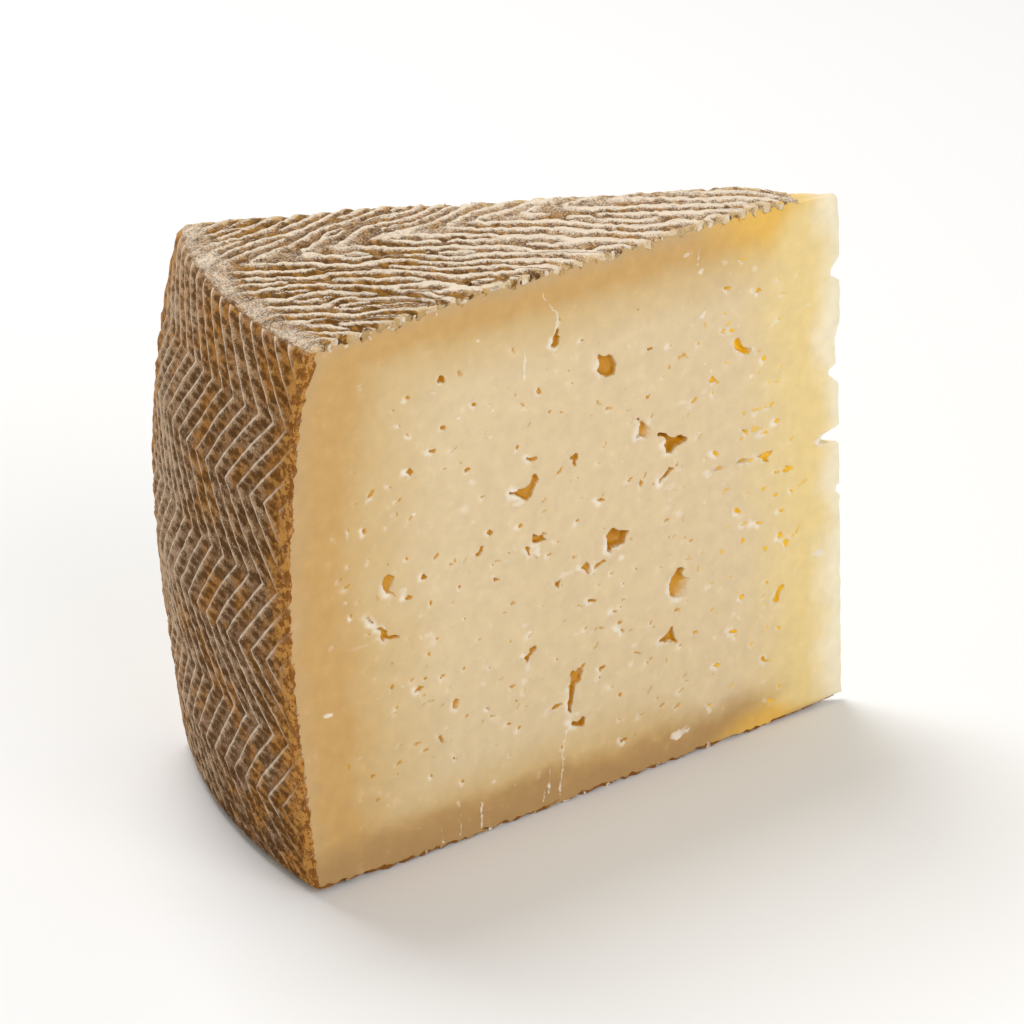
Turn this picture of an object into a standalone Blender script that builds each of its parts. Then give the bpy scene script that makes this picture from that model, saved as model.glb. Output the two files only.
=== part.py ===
"""A wedge of aged Manchego: one slice of a drum-shaped wheel.

The rind keeps the print of the plaited grass mould: chevron bands round the
side and long slanting ridges on the top and the base. The two knife cuts meet
at the tip. Small openings in the paste show in both cuts, and the thin tip
edge is chipped.

Sizes are in millimetres here and become metres in the mesh. +Z is up, the
rind faces -X, the tip faces +X, and the origin is under the middle of the
wedge's box, on the surface that it rests on.
"""
import math

import bmesh
import bpy
import numpy as np
from mathutils import Matrix, Vector

MM = 0.001

# The wheel and the slice
HEIGHT = 86.4
RIM_RADIUS = 100.0
BASE_RIM_RADIUS = 101.0
BELLY_RADIUS = 105.0
BELLY_POWER_TOP = 2.2
BELLY_POWER_BASE = 1.5
HALF_ANGLE = math.radians(15.2)
TIP_LEAN = 3.3
TOP_ROUNDING = 2.2
BASE_ROUNDING = 1.2

# The top and the base swell by these heights between the rim and the tip
TOP_CROWN = 0.9
TOP_CROWN_FROM_RIM = 36.0
BASE_CROWN = 0.8
BASE_CROWN_FROM_RIM = 14.0
CROWN_FROM_TIP = 16.0

# The mould print on the side: chevron bands round the wheel
SIDE_BANDS = 7
BAND_SWAY = 10.6
SIDE_PITCH = 3.5
SIDE_RELIEF = 0.75
SIDE_CREST_SHARE = 0.5
SIDE_WANDER = 0.12
SIDE_FADE = (0.4, 2.4)

# The print on the top and the base: ridges that slant to both sides of a spine
FACE_PITCH = 2.7
FACE_RELIEF = 0.85
FACE_CREST_SHARE = 0.75
FACE_WANDER = 0.16
FACE_SLANT = math.radians(21.5)
SPINE_OFFSET = 7.0
SPINE_WIDTH = 1.2
FACE_MARGIN = (0.8, 4.2)
TIP_MARGIN = (2.0, 9.0)
SEAM_RELIEF = 0.35
SEAM_WIDTH = 0.9
REST_PATCH_RADIUS = 8.0
REST_PATCH_BLEND = 3.0
REST_PATCH_FROM_TIP = 64.0

# Unevenness of the rind, as long swells and short lumps
SWELL_SIZE = 17.0
SWELL_DEPTH = 0.22
LUMP_SIZE = 4.6
LUMP_DEPTH = 0.22
WANDER_SIZE = 13.0

# How finely the surfaces are worked out, and how many triangles are kept
COLUMNS = 121
FACE_STEP = 0.75
SIDE_STEP = 0.7
CORNER_STEPS = 5
KEPT_TRIANGLES = 8200

# Openings in the front cut, as (from tip, below top, width, height, turn in degrees)
FRONT_OPENINGS = (
    (45.6, 16.9, 4.2, 4.0, 10),
    (39.4, 29.0, 3.2, 3.4, -20),
    (34.2, 32.2, 5.4, 2.2, -15),
    (34.0, 33.8, 2.4, 2.2, 0),
    (35.0, 38.1, 3.2, 1.4, 25),
    (45.6, 45.6, 4.6, 3.8, -5),
    (33.0, 56.8, 3.8, 4.6, 0),
    (34.8, 65.6, 4.6, 2.6, -15),
    (61.8, 33.0, 5.0, 2.0, -5),
    (60.0, 31.6, 1.8, 2.8, -20),
    (61.0, 28.0, 2.4, 1.0, -25),
    (55.4, 10.2, 1.6, 3.4, -20),
    (53.6, 66.0, 2.8, 2.2, 0),
    (54.4, 69.2, 1.3, 6.4, -8),
    (53.4, 74.4, 3.0, 1.7, -5),
    (56.8, 49.6, 1.7, 2.3, 20),
    (50.4, 49.2, 4.4, 1.6, 5),
    (52.6, 30.1, 2.0, 1.8, 0),
    (60.3, 41.0, 2.6, 1.9, -20),
    (62.3, 60.0, 2.8, 1.8, 30),
    (19.4, 21.2, 3.8, 1.7, -35),
    (15.3, 40.3, 2.8, 1.7, -10),
    (13.0, 64.8, 2.8, 2.0, 40),
    (12.0, 55.6, 2.2, 2.2, -40),
    (90.6, 47.0, 1.1, 4.6, -35),
    (88.2, 40.4, 2.4, 3.0, 0),
)
OPENING_DEPTH = 0.75
LEAST_DEPTH = 1.0
OPENING_RAGGEDNESS = 0.22
FINE_OPENING_AREA = 5.0

# Openings in the back cut are spread by rule, clear of the rind
BACK_COLUMNS = 4
BACK_ROWS = 4
BACK_MARGIN_RIND = 16.0
BACK_MARGIN_TIP = 22.0
BACK_MARGIN_FACE = 14.0
BACK_SIZE = (1.8, 4.4)

# Chips in the tip edge, as (below top, height, how far in)
TIP_CHIPS = (
    (12.9, 2.6, 1.9),
    (29.2, 2.6, 1.7),
    (39.4, 2.2, 5.0),
)
CHIP_WIDTH = 14.0
CHIP_RAGGEDNESS = 0.12

# Points closer than this are one point
MERGE_DISTANCE = 0.002

SEED = 4417

RIND_COLOUR = (0.33, 0.22, 0.12, 1.0)
RIND_ROUGHNESS = 0.85
PASTE_COLOUR = (0.72, 0.55, 0.30, 1.0)
PASTE_ROUGHNESS = 0.5


def clear_scene():
    """Removes the objects of the open file."""
    for item in list(bpy.data.objects):
        bpy.data.objects.remove(item, do_unlink=True)


def smooth_step(value, low, high):
    """Rises smoothly from 0 at low to 1 at high."""
    share = np.clip((value - low) / (high - low), 0.0, 1.0)
    return share * share * (3.0 - 2.0 * share)


def waves(x, y, size, seed):
    """A smooth uneven field between about -1 and 1: a sum of seeded plane waves."""
    rng = np.random.default_rng(seed)
    total = 0.0
    count = 7
    for _ in range(count):
        heading = rng.uniform(0.0, 2.0 * math.pi)
        length = size * rng.uniform(0.7, 1.6)
        start = rng.uniform(0.0, 2.0 * math.pi)
        along = x * math.cos(heading) + y * math.sin(heading)
        total = total + np.sin(along * 2.0 * math.pi / length + start)
    return total / math.sqrt(count * 2.0)


def ridge(phase, crest_share):
    """One rounded crest for each whole number of the phase, 1 on the crest and 0 between crests."""
    from_crest = np.abs(phase - np.round(phase)) * 2.0
    return 1.0 - smooth_step(from_crest, crest_share * 0.35, crest_share * 1.3)


def side_print(arc, below_top):
    """Height of the chevron print at a distance round the side and below the top."""
    band = below_top / HEIGHT * SIDE_BANDS
    sway = BAND_SWAY * np.abs(band - 2.0 * np.round(band / 2.0))
    phase = (arc - sway) / SIDE_PITCH + SIDE_WANDER * waves(arc, below_top, WANDER_SIZE, SEED)
    return ridge(phase, SIDE_CREST_SHARE)


def face_print(x, y, turn):
    """Height of the slanting ridges at a place in plan; turn is 1 on the top and -1 on the base."""
    from_spine = y * turn - SPINE_OFFSET
    bent = np.sqrt(from_spine * from_spine + SPINE_WIDTH * SPINE_WIDTH)
    across = x * math.sin(FACE_SLANT) - bent * math.cos(FACE_SLANT)
    phase = across / FACE_PITCH + FACE_WANDER * waves(x, y, WANDER_SIZE, SEED + 1)
    return ridge(phase, FACE_CREST_SHARE)


def rind_swell(x, y, z):
    """Long swells and short lumps of the rind, in millimetres."""
    swell = waves(x + 0.6 * z, y - 0.8 * z, SWELL_SIZE, SEED + 2)
    lump = waves(x - 0.9 * z, y + 0.5 * z, LUMP_SIZE, SEED + 3)
    return SWELL_DEPTH * swell + LUMP_DEPTH * lump


def belly_radius(z):
    """Radius of the side at a height: least at both rims, with a fuller shoulder at the top."""
    off_middle = np.abs(2.0 * z / HEIGHT - 1.0)
    power = np.where(z > HEIGHT / 2.0, BELLY_POWER_TOP, BELLY_POWER_BASE)
    rim = BASE_RIM_RADIUS + (RIM_RADIUS - BASE_RIM_RADIUS) * z / HEIGHT
    return rim + (BELLY_RADIUS - rim) * (1.0 - off_middle ** power)


def face_profile(rim, rounding, edge):
    """Points (radius, depth in from the face, outward radial, outward up), from the tip to the bend."""
    start = rim - rounding
    across = np.linspace(0.0, start, int(start / FACE_STEP))
    flat = np.stack([across, across * 0.0, across * 0.0, across * 0.0 + 1.0], axis=1)
    turn = np.linspace(0.0, math.pi / 2.0, CORNER_STEPS + 2)[1:-1]
    reach = edge - start
    depth = rounding * (1.0 - np.cos(turn))
    bend = np.stack([start + reach * np.sin(turn), depth, np.sin(turn), np.cos(turn)], axis=1)
    return np.concatenate([flat, bend])


def wheel_profile():
    """Points (radius, height, outward radial, outward up), from the tip's top round to its base."""
    down = np.linspace(HEIGHT - TOP_ROUNDING, BASE_ROUNDING, int(HEIGHT / SIDE_STEP))
    side = np.stack([belly_radius(down), down, down * 0.0 + 1.0, down * 0.0], axis=1)
    top = face_profile(RIM_RADIUS, TOP_ROUNDING, side[0, 0])
    base = face_profile(BASE_RIM_RADIUS, BASE_ROUNDING, side[-1, 0])
    top = top * (1.0, -1.0, 1.0, 1.0) + (0.0, HEIGHT, 0.0, 0.0)
    base = base[::-1] * (1.0, 1.0, 1.0, -1.0)
    return np.concatenate([top, side, base])


def crown_share(radius, from_rim):
    """Share of a crown's height: 0 at the rim and the tip, 1 from the given distance inside the rim."""
    return smooth_step(RIM_RADIUS - radius, 0.0, from_rim) * smooth_step(radius, 0.0, CROWN_FROM_TIP)


def place(across, radius, z):
    """Plan position at a share across the slice (-1 front cut, 1 back cut), a radius and a height.

    The cuts are flat and meet on the tip line, which leans outwards towards the base.
    """
    lean = TIP_LEAN * (1.0 - z / HEIGHT)
    full = np.maximum(radius, RIM_RADIUS)
    inward = np.minimum(radius / RIM_RADIUS, 1.0)
    length = lean * math.cos(HALF_ANGLE) + np.sqrt(full * full - (lean * math.sin(HALF_ANGLE)) ** 2)
    widest = np.arcsin(length * math.sin(HALF_ANGLE) / full)
    angle = across * widest
    x = lean + inward * (-full * np.cos(angle) - lean)
    y = inward * full * np.sin(angle)
    return x, y


def wedge_points():
    """The rind's points, one row for each profile point and one column for each step across."""
    profile = wheel_profile()
    across = np.linspace(-1.0, 1.0, COLUMNS)[None, :]
    radius, z, out, up = (profile[:, k][:, None] for k in range(4))
    x, y = place(across, radius, z)
    arc = -across * HALF_ANGLE * RIM_RADIUS
    on_side = smooth_step(np.minimum(z, HEIGHT - z), *SIDE_FADE) * out
    from_rim = RIM_RADIUS - radius
    on_face = smooth_step(from_rim, *FACE_MARGIN) * smooth_step(radius, *TIP_MARGIN)
    seam = np.exp(-((from_rim - FACE_MARGIN[1]) / SEAM_WIDTH) ** 2)
    swell = rind_swell(x, y, z)
    side = on_side * (SIDE_RELIEF * (side_print(arc, HEIGHT - z) - 0.5) + swell)
    top = on_face * (FACE_RELIEF * (face_print(x, y, 1.0) - 0.5) + swell) + SEAM_RELIEF * seam
    top = top + TOP_CROWN * crown_share(radius, TOP_CROWN_FROM_RIM)
    from_patch = np.hypot(x + REST_PATCH_FROM_TIP, y) - REST_PATCH_RADIUS
    groove = smooth_step(from_patch, 0.0, REST_PATCH_BLEND) * (1.0 - face_print(x, y, -1.0))
    base = BASE_CROWN * crown_share(radius, BASE_CROWN_FROM_RIM) - on_face * FACE_RELIEF * groove
    rise = np.where(up > 0.0, top, base) * up
    x, y = place(across, radius + side, z + rise)
    return x, y, z + rise


def make_material(name, colour, roughness):
    """A plain material of one colour."""
    material = bpy.data.materials.new(name)
    material.use_nodes = True
    shader = material.node_tree.nodes["Principled BSDF"]
    shader.inputs["Base Color"].default_value = colour
    shader.inputs["Roughness"].default_value = roughness
    shader.inputs["Metallic"].default_value = 0.0
    material.diffuse_color = colour
    return material


def wedge_mesh():
    """One closed mesh: the rind's grid of faces and a flat polygon for each cut."""
    x, y, z = wedge_points()
    rows, columns = x.shape
    grid = np.stack([x, y, z], axis=-1)
    bm = bmesh.new()
    tip_top = bm.verts.new(Vector(grid[0, 0]) * MM)
    tip_base = bm.verts.new(Vector(grid[-1, 0]) * MM)
    lines = [[bm.verts.new(Vector(point) * MM) for point in row] for row in grid[1:-1]]
    for left in range(columns - 1):
        bm.faces.new((tip_top, lines[0][left], lines[0][left + 1]))
        bm.faces.new((tip_base, lines[-1][left + 1], lines[-1][left]))
        for above, below in zip(lines[:-1], lines[1:]):
            bm.faces.new((above[left], below[left], below[left + 1], above[left + 1]))
    front = bm.faces.new([tip_base] + [row[0] for row in reversed(lines)] + [tip_top])
    back = bm.faces.new([tip_top] + [row[-1] for row in lines] + [tip_base])
    front.material_index = 1
    back.material_index = 1
    bmesh.ops.recalc_face_normals(bm, faces=bm.faces)
    bmesh.ops.triangulate(bm, faces=bm.faces)
    mesh = bpy.data.meshes.new("cheese_wedge")
    bm.to_mesh(mesh)
    bm.free()
    return mesh


def cut_axes(side):
    """Directions of the front cut (side -1) or back cut (side 1): away from the tip, up and outwards."""
    away = Vector((-math.cos(HALF_ANGLE), side * math.sin(HALF_ANGLE), 0.0))
    down = Vector((TIP_LEAN, 0.0, -HEIGHT)).normalized()
    out = away.cross(down) * -side
    out.normalize()
    return away, -down, out


def cut_point(side, from_tip, below_top):
    """A place on a cut face, in millimetres from the tip line and below the top."""
    away, _, _ = cut_axes(side)
    tip = Vector((TIP_LEAN * below_top / HEIGHT, 0.0, HEIGHT - below_top))
    return tip + away * from_tip


def ragged_ball(name, matrix, subdivisions, raggedness, rng):
    """A cutter: a ball with uneven corners, stretched and placed by the matrix."""
    bm = bmesh.new()
    bmesh.ops.create_icosphere(bm, subdivisions=subdivisions, radius=1.0)
    for vertex in bm.verts:
        vertex.co = vertex.co * (1.0 + raggedness * rng.uniform(-1.0, 1.0))
    bmesh.ops.transform(bm, matrix=matrix, verts=bm.verts)
    mesh = bpy.data.meshes.new(name)
    bm.to_mesh(mesh)
    bm.free()
    cutter = bpy.data.objects.new(name, mesh)
    cutter.hide_render = True
    cutter.display_type = 'WIRE'
    return cutter


def opening_cutter(name, side, opening, rng):
    """A ragged hollow that opens at a cut face."""
    from_tip, below_top, width, height, turn = opening
    away, up, out = cut_axes(side)
    across = -away
    spin = Matrix.Rotation(math.radians(turn) * -side, 3, out)
    depth = max(OPENING_DEPTH * min(width, height), LEAST_DEPTH)
    frame = Matrix((spin @ across * width / 2.0, out * depth, spin @ up * height / 2.0)).transposed()
    matrix = Matrix.Translation(cut_point(side, from_tip, below_top) * MM) @ (frame * MM).to_4x4()
    if frame.determinant() < 0.0:
        matrix = matrix @ Matrix.Scale(-1.0, 4, (0.0, 0.0, 1.0))
    subdivisions = 2 if width * height > FINE_OPENING_AREA else 1
    return ragged_ball(name, matrix, subdivisions, OPENING_RAGGEDNESS, rng)


def back_openings():
    """Openings of the back cut: one in each cell of a coarse grid, moved and sized at random."""
    rng = np.random.default_rng(SEED + 5)
    reach = RIM_RADIUS - BACK_MARGIN_RIND - BACK_MARGIN_TIP
    drop = HEIGHT - 2.0 * BACK_MARGIN_FACE
    for column in range(BACK_COLUMNS):
        for row in range(BACK_ROWS):
            shift = rng.uniform(0.15, 0.85, size=2)
            from_tip = BACK_MARGIN_TIP + reach * (column + shift[0]) / BACK_COLUMNS
            below_top = BACK_MARGIN_FACE + drop * (row + shift[1]) / BACK_ROWS
            width = rng.uniform(*BACK_SIZE)
            yield from_tip, below_top, width, width * rng.uniform(0.5, 1.0), rng.uniform(-50.0, 50.0)


def chip_cutter(name, chip, rng):
    """A blunt notch across the tip edge."""
    below_top, height, inward = chip
    centre = Vector((TIP_LEAN * below_top / HEIGHT, 0.0, HEIGHT - below_top))
    frame = Matrix.Diagonal((inward, CHIP_WIDTH / 2.0, height / 2.0)) * MM
    matrix = Matrix.Translation(centre * MM) @ frame.to_4x4()
    return ragged_ball(name, matrix, 2, CHIP_RAGGEDNESS, rng)


def make_cutters():
    """The collection of all hollows and chips."""
    rng = np.random.default_rng(SEED + 4)
    collection = bpy.data.collections.new("openings")
    bpy.context.scene.collection.children.link(collection)
    for number, opening in enumerate(FRONT_OPENINGS):
        collection.objects.link(opening_cutter(f"front_opening_{number}", -1.0, opening, rng))
    for number, opening in enumerate(back_openings()):
        collection.objects.link(opening_cutter(f"back_opening_{number}", 1.0, opening, rng))
    for number, chip in enumerate(TIP_CHIPS):
        collection.objects.link(chip_cutter(f"tip_chip_{number}", chip, rng))
    return collection


def evaluated_copy(item):
    """A mesh with the object's modifiers applied."""
    bpy.context.view_layer.update()
    graph = bpy.context.evaluated_depsgraph_get()
    return bpy.data.meshes.new_from_object(item.evaluated_get(graph))


def thin_out(item):
    """Keeps the triangles where the relief needs them."""
    thin = item.modifiers.new("thin_out", 'DECIMATE')
    thin.ratio = KEPT_TRIANGLES / len(item.data.polygons)
    item.data = evaluated_copy(item)
    item.modifiers.clear()


def cut_openings(item, collection):
    """Takes the openings and chips out of the paste."""
    cut = item.modifiers.new("openings", 'BOOLEAN')
    cut.operation = 'DIFFERENCE'
    cut.operand_type = 'COLLECTION'
    cut.collection = collection
    cut.solver = 'EXACT'
    item.data = evaluated_copy(item)
    item.modifiers.clear()
    for cutter in list(collection.objects):
        bpy.data.objects.remove(cutter, do_unlink=True)
    bpy.data.collections.remove(collection)


def centre_on_base(mesh):
    """Moves the mesh so that its box stands centred on the origin, and makes it triangles."""
    bm = bmesh.new()
    bm.from_mesh(mesh)
    bmesh.ops.triangulate(bm, faces=bm.faces)
    bmesh.ops.remove_doubles(bm, verts=bm.verts, dist=MERGE_DISTANCE * MM)
    points = np.array([vertex.co for vertex in bm.verts])
    low = points.min(axis=0)
    high = points.max(axis=0)
    shift = Vector((-(low[0] + high[0]) / 2.0, -(low[1] + high[1]) / 2.0, -low[2]))
    bmesh.ops.translate(bm, vec=shift, verts=bm.verts)
    bm.to_mesh(mesh)
    bm.free()


def main():
    clear_scene()
    wedge = bpy.data.objects.new("cheese_wedge", wedge_mesh())
    bpy.context.scene.collection.objects.link(wedge)
    wedge.data.materials.append(make_material("brushed_rind", RIND_COLOUR, RIND_ROUGHNESS))
    wedge.data.materials.append(make_material("aged_paste", PASTE_COLOUR, PASTE_ROUGHNESS))
    thin_out(wedge)
    cut_openings(wedge, make_cutters())
    centre_on_base(wedge.data)


main()
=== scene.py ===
"""Looks of a wedge of aged Manchego: its cut paste, its brushed rind and the crumbs on both.

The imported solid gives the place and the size. The paste and the three parts of
the rind are surfaces worked out in millimetres round the wheel's own axis: the
tip line is near x = 0, the rind faces -X and z = 0 is the rim of the base. They
become metres in the frame's own place when a mesh is made.
"""

import math

import bpy
import numpy as np
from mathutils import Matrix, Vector


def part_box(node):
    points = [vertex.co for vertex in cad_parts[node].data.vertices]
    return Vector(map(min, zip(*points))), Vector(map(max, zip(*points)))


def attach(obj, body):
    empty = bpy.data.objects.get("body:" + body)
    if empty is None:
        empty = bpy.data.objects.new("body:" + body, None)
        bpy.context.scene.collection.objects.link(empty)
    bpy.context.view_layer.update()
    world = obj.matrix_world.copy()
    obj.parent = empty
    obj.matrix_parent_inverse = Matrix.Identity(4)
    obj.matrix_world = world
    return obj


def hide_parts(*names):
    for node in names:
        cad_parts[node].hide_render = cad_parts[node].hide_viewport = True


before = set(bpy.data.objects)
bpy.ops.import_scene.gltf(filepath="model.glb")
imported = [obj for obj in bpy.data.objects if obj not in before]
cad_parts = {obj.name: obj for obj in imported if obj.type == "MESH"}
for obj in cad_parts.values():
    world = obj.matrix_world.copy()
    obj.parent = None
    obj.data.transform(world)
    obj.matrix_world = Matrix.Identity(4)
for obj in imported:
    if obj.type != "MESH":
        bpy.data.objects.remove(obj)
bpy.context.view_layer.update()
NODE_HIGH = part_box("cheese_wedge")[1]

bl_info = {
    "name": "Manchego wedge",
    "version": (1, 0, 0),
    "blender": (4, 5, 0),
    "location": "3D Viewport > Sidebar > Manchego",
    "description": "Builds a cut wedge of aged cheese with a plaited print in its rind",
    "category": "Add Mesh",
}

MM = 0.001

# The wheel and the slice, as in the solid
HEIGHT = 86.4
RIM_RADIUS = 100.0
BASE_RIM_RADIUS = 101.0
BELLY_RADIUS = 105.0
BELLY_POWER_TOP = 2.2
BELLY_POWER_BASE = 1.5
HALF_ANGLE = math.radians(15.2)
TIP_LEAN = 3.3
TOP_ROUNDING = 2.2
BASE_ROUNDING = 1.2
TOP_CROWN = 0.9
TOP_CROWN_FROM_RIM = 36.0
BASE_CROWN = 0.8
BASE_CROWN_FROM_RIM = 14.0
CROWN_FROM_TIP = 16.0

# The mould print, as in the solid
SIDE_BANDS = 7
BAND_SWAY = 10.6
SIDE_PITCH = 3.5
SIDE_RELIEF = 0.75
SIDE_WANDER = 0.07
SIDE_FADE = (0.4, 2.4)
FACE_PITCH = 2.7
FACE_RELIEF = 0.85
FACE_WANDER = 0.16
FACE_SLANT = math.radians(21.5)
SPINE_OFFSET = 7.0
SPINE_WIDTH = 1.2
FACE_MARGIN = (1.0, 6.0)
TIP_MARGIN = (6.5, 15.0)
SEAM_RELIEF = 0.2
SEAM_WIDTH = 0.9
SEAM_FROM_RIM = 3.2
REST_PATCH_RADIUS = 8.0
REST_PATCH_BLEND = 3.0
REST_PATCH_FROM_TIP = 64.0
SWELL_SIZE = 17.0
SWELL_DEPTH = 0.22
LUMP_SIZE = 4.6
LUMP_DEPTH = 0.06
WANDER_SIZE = 13.0
SEED = 4417

# Where the wheel's axis stands in the frame: the tip line's foot is the box's far end
AXIS_PLACE = np.array([NODE_HIGH.x / MM - TIP_LEAN, 0.0, BASE_CROWN])

# The camera that fits the photograph's outline, in degrees and millimetres
CAMERA_AZIMUTH = -23.621
CAMERA_ELEVATION = 24.696
CAMERA_DISTANCE = 790.81
CAMERA_LENS = 182.89
SENSOR_WIDTH = 36.0
AIM_FROM_AXIS = -49.452
AIM_SIDEWAYS = -3.943
AIM_HEIGHT = 42.283

# Where the front cut's own place is counted from: its upper left end is this far from the tip line
CUT_SPAN = 104.0

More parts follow.
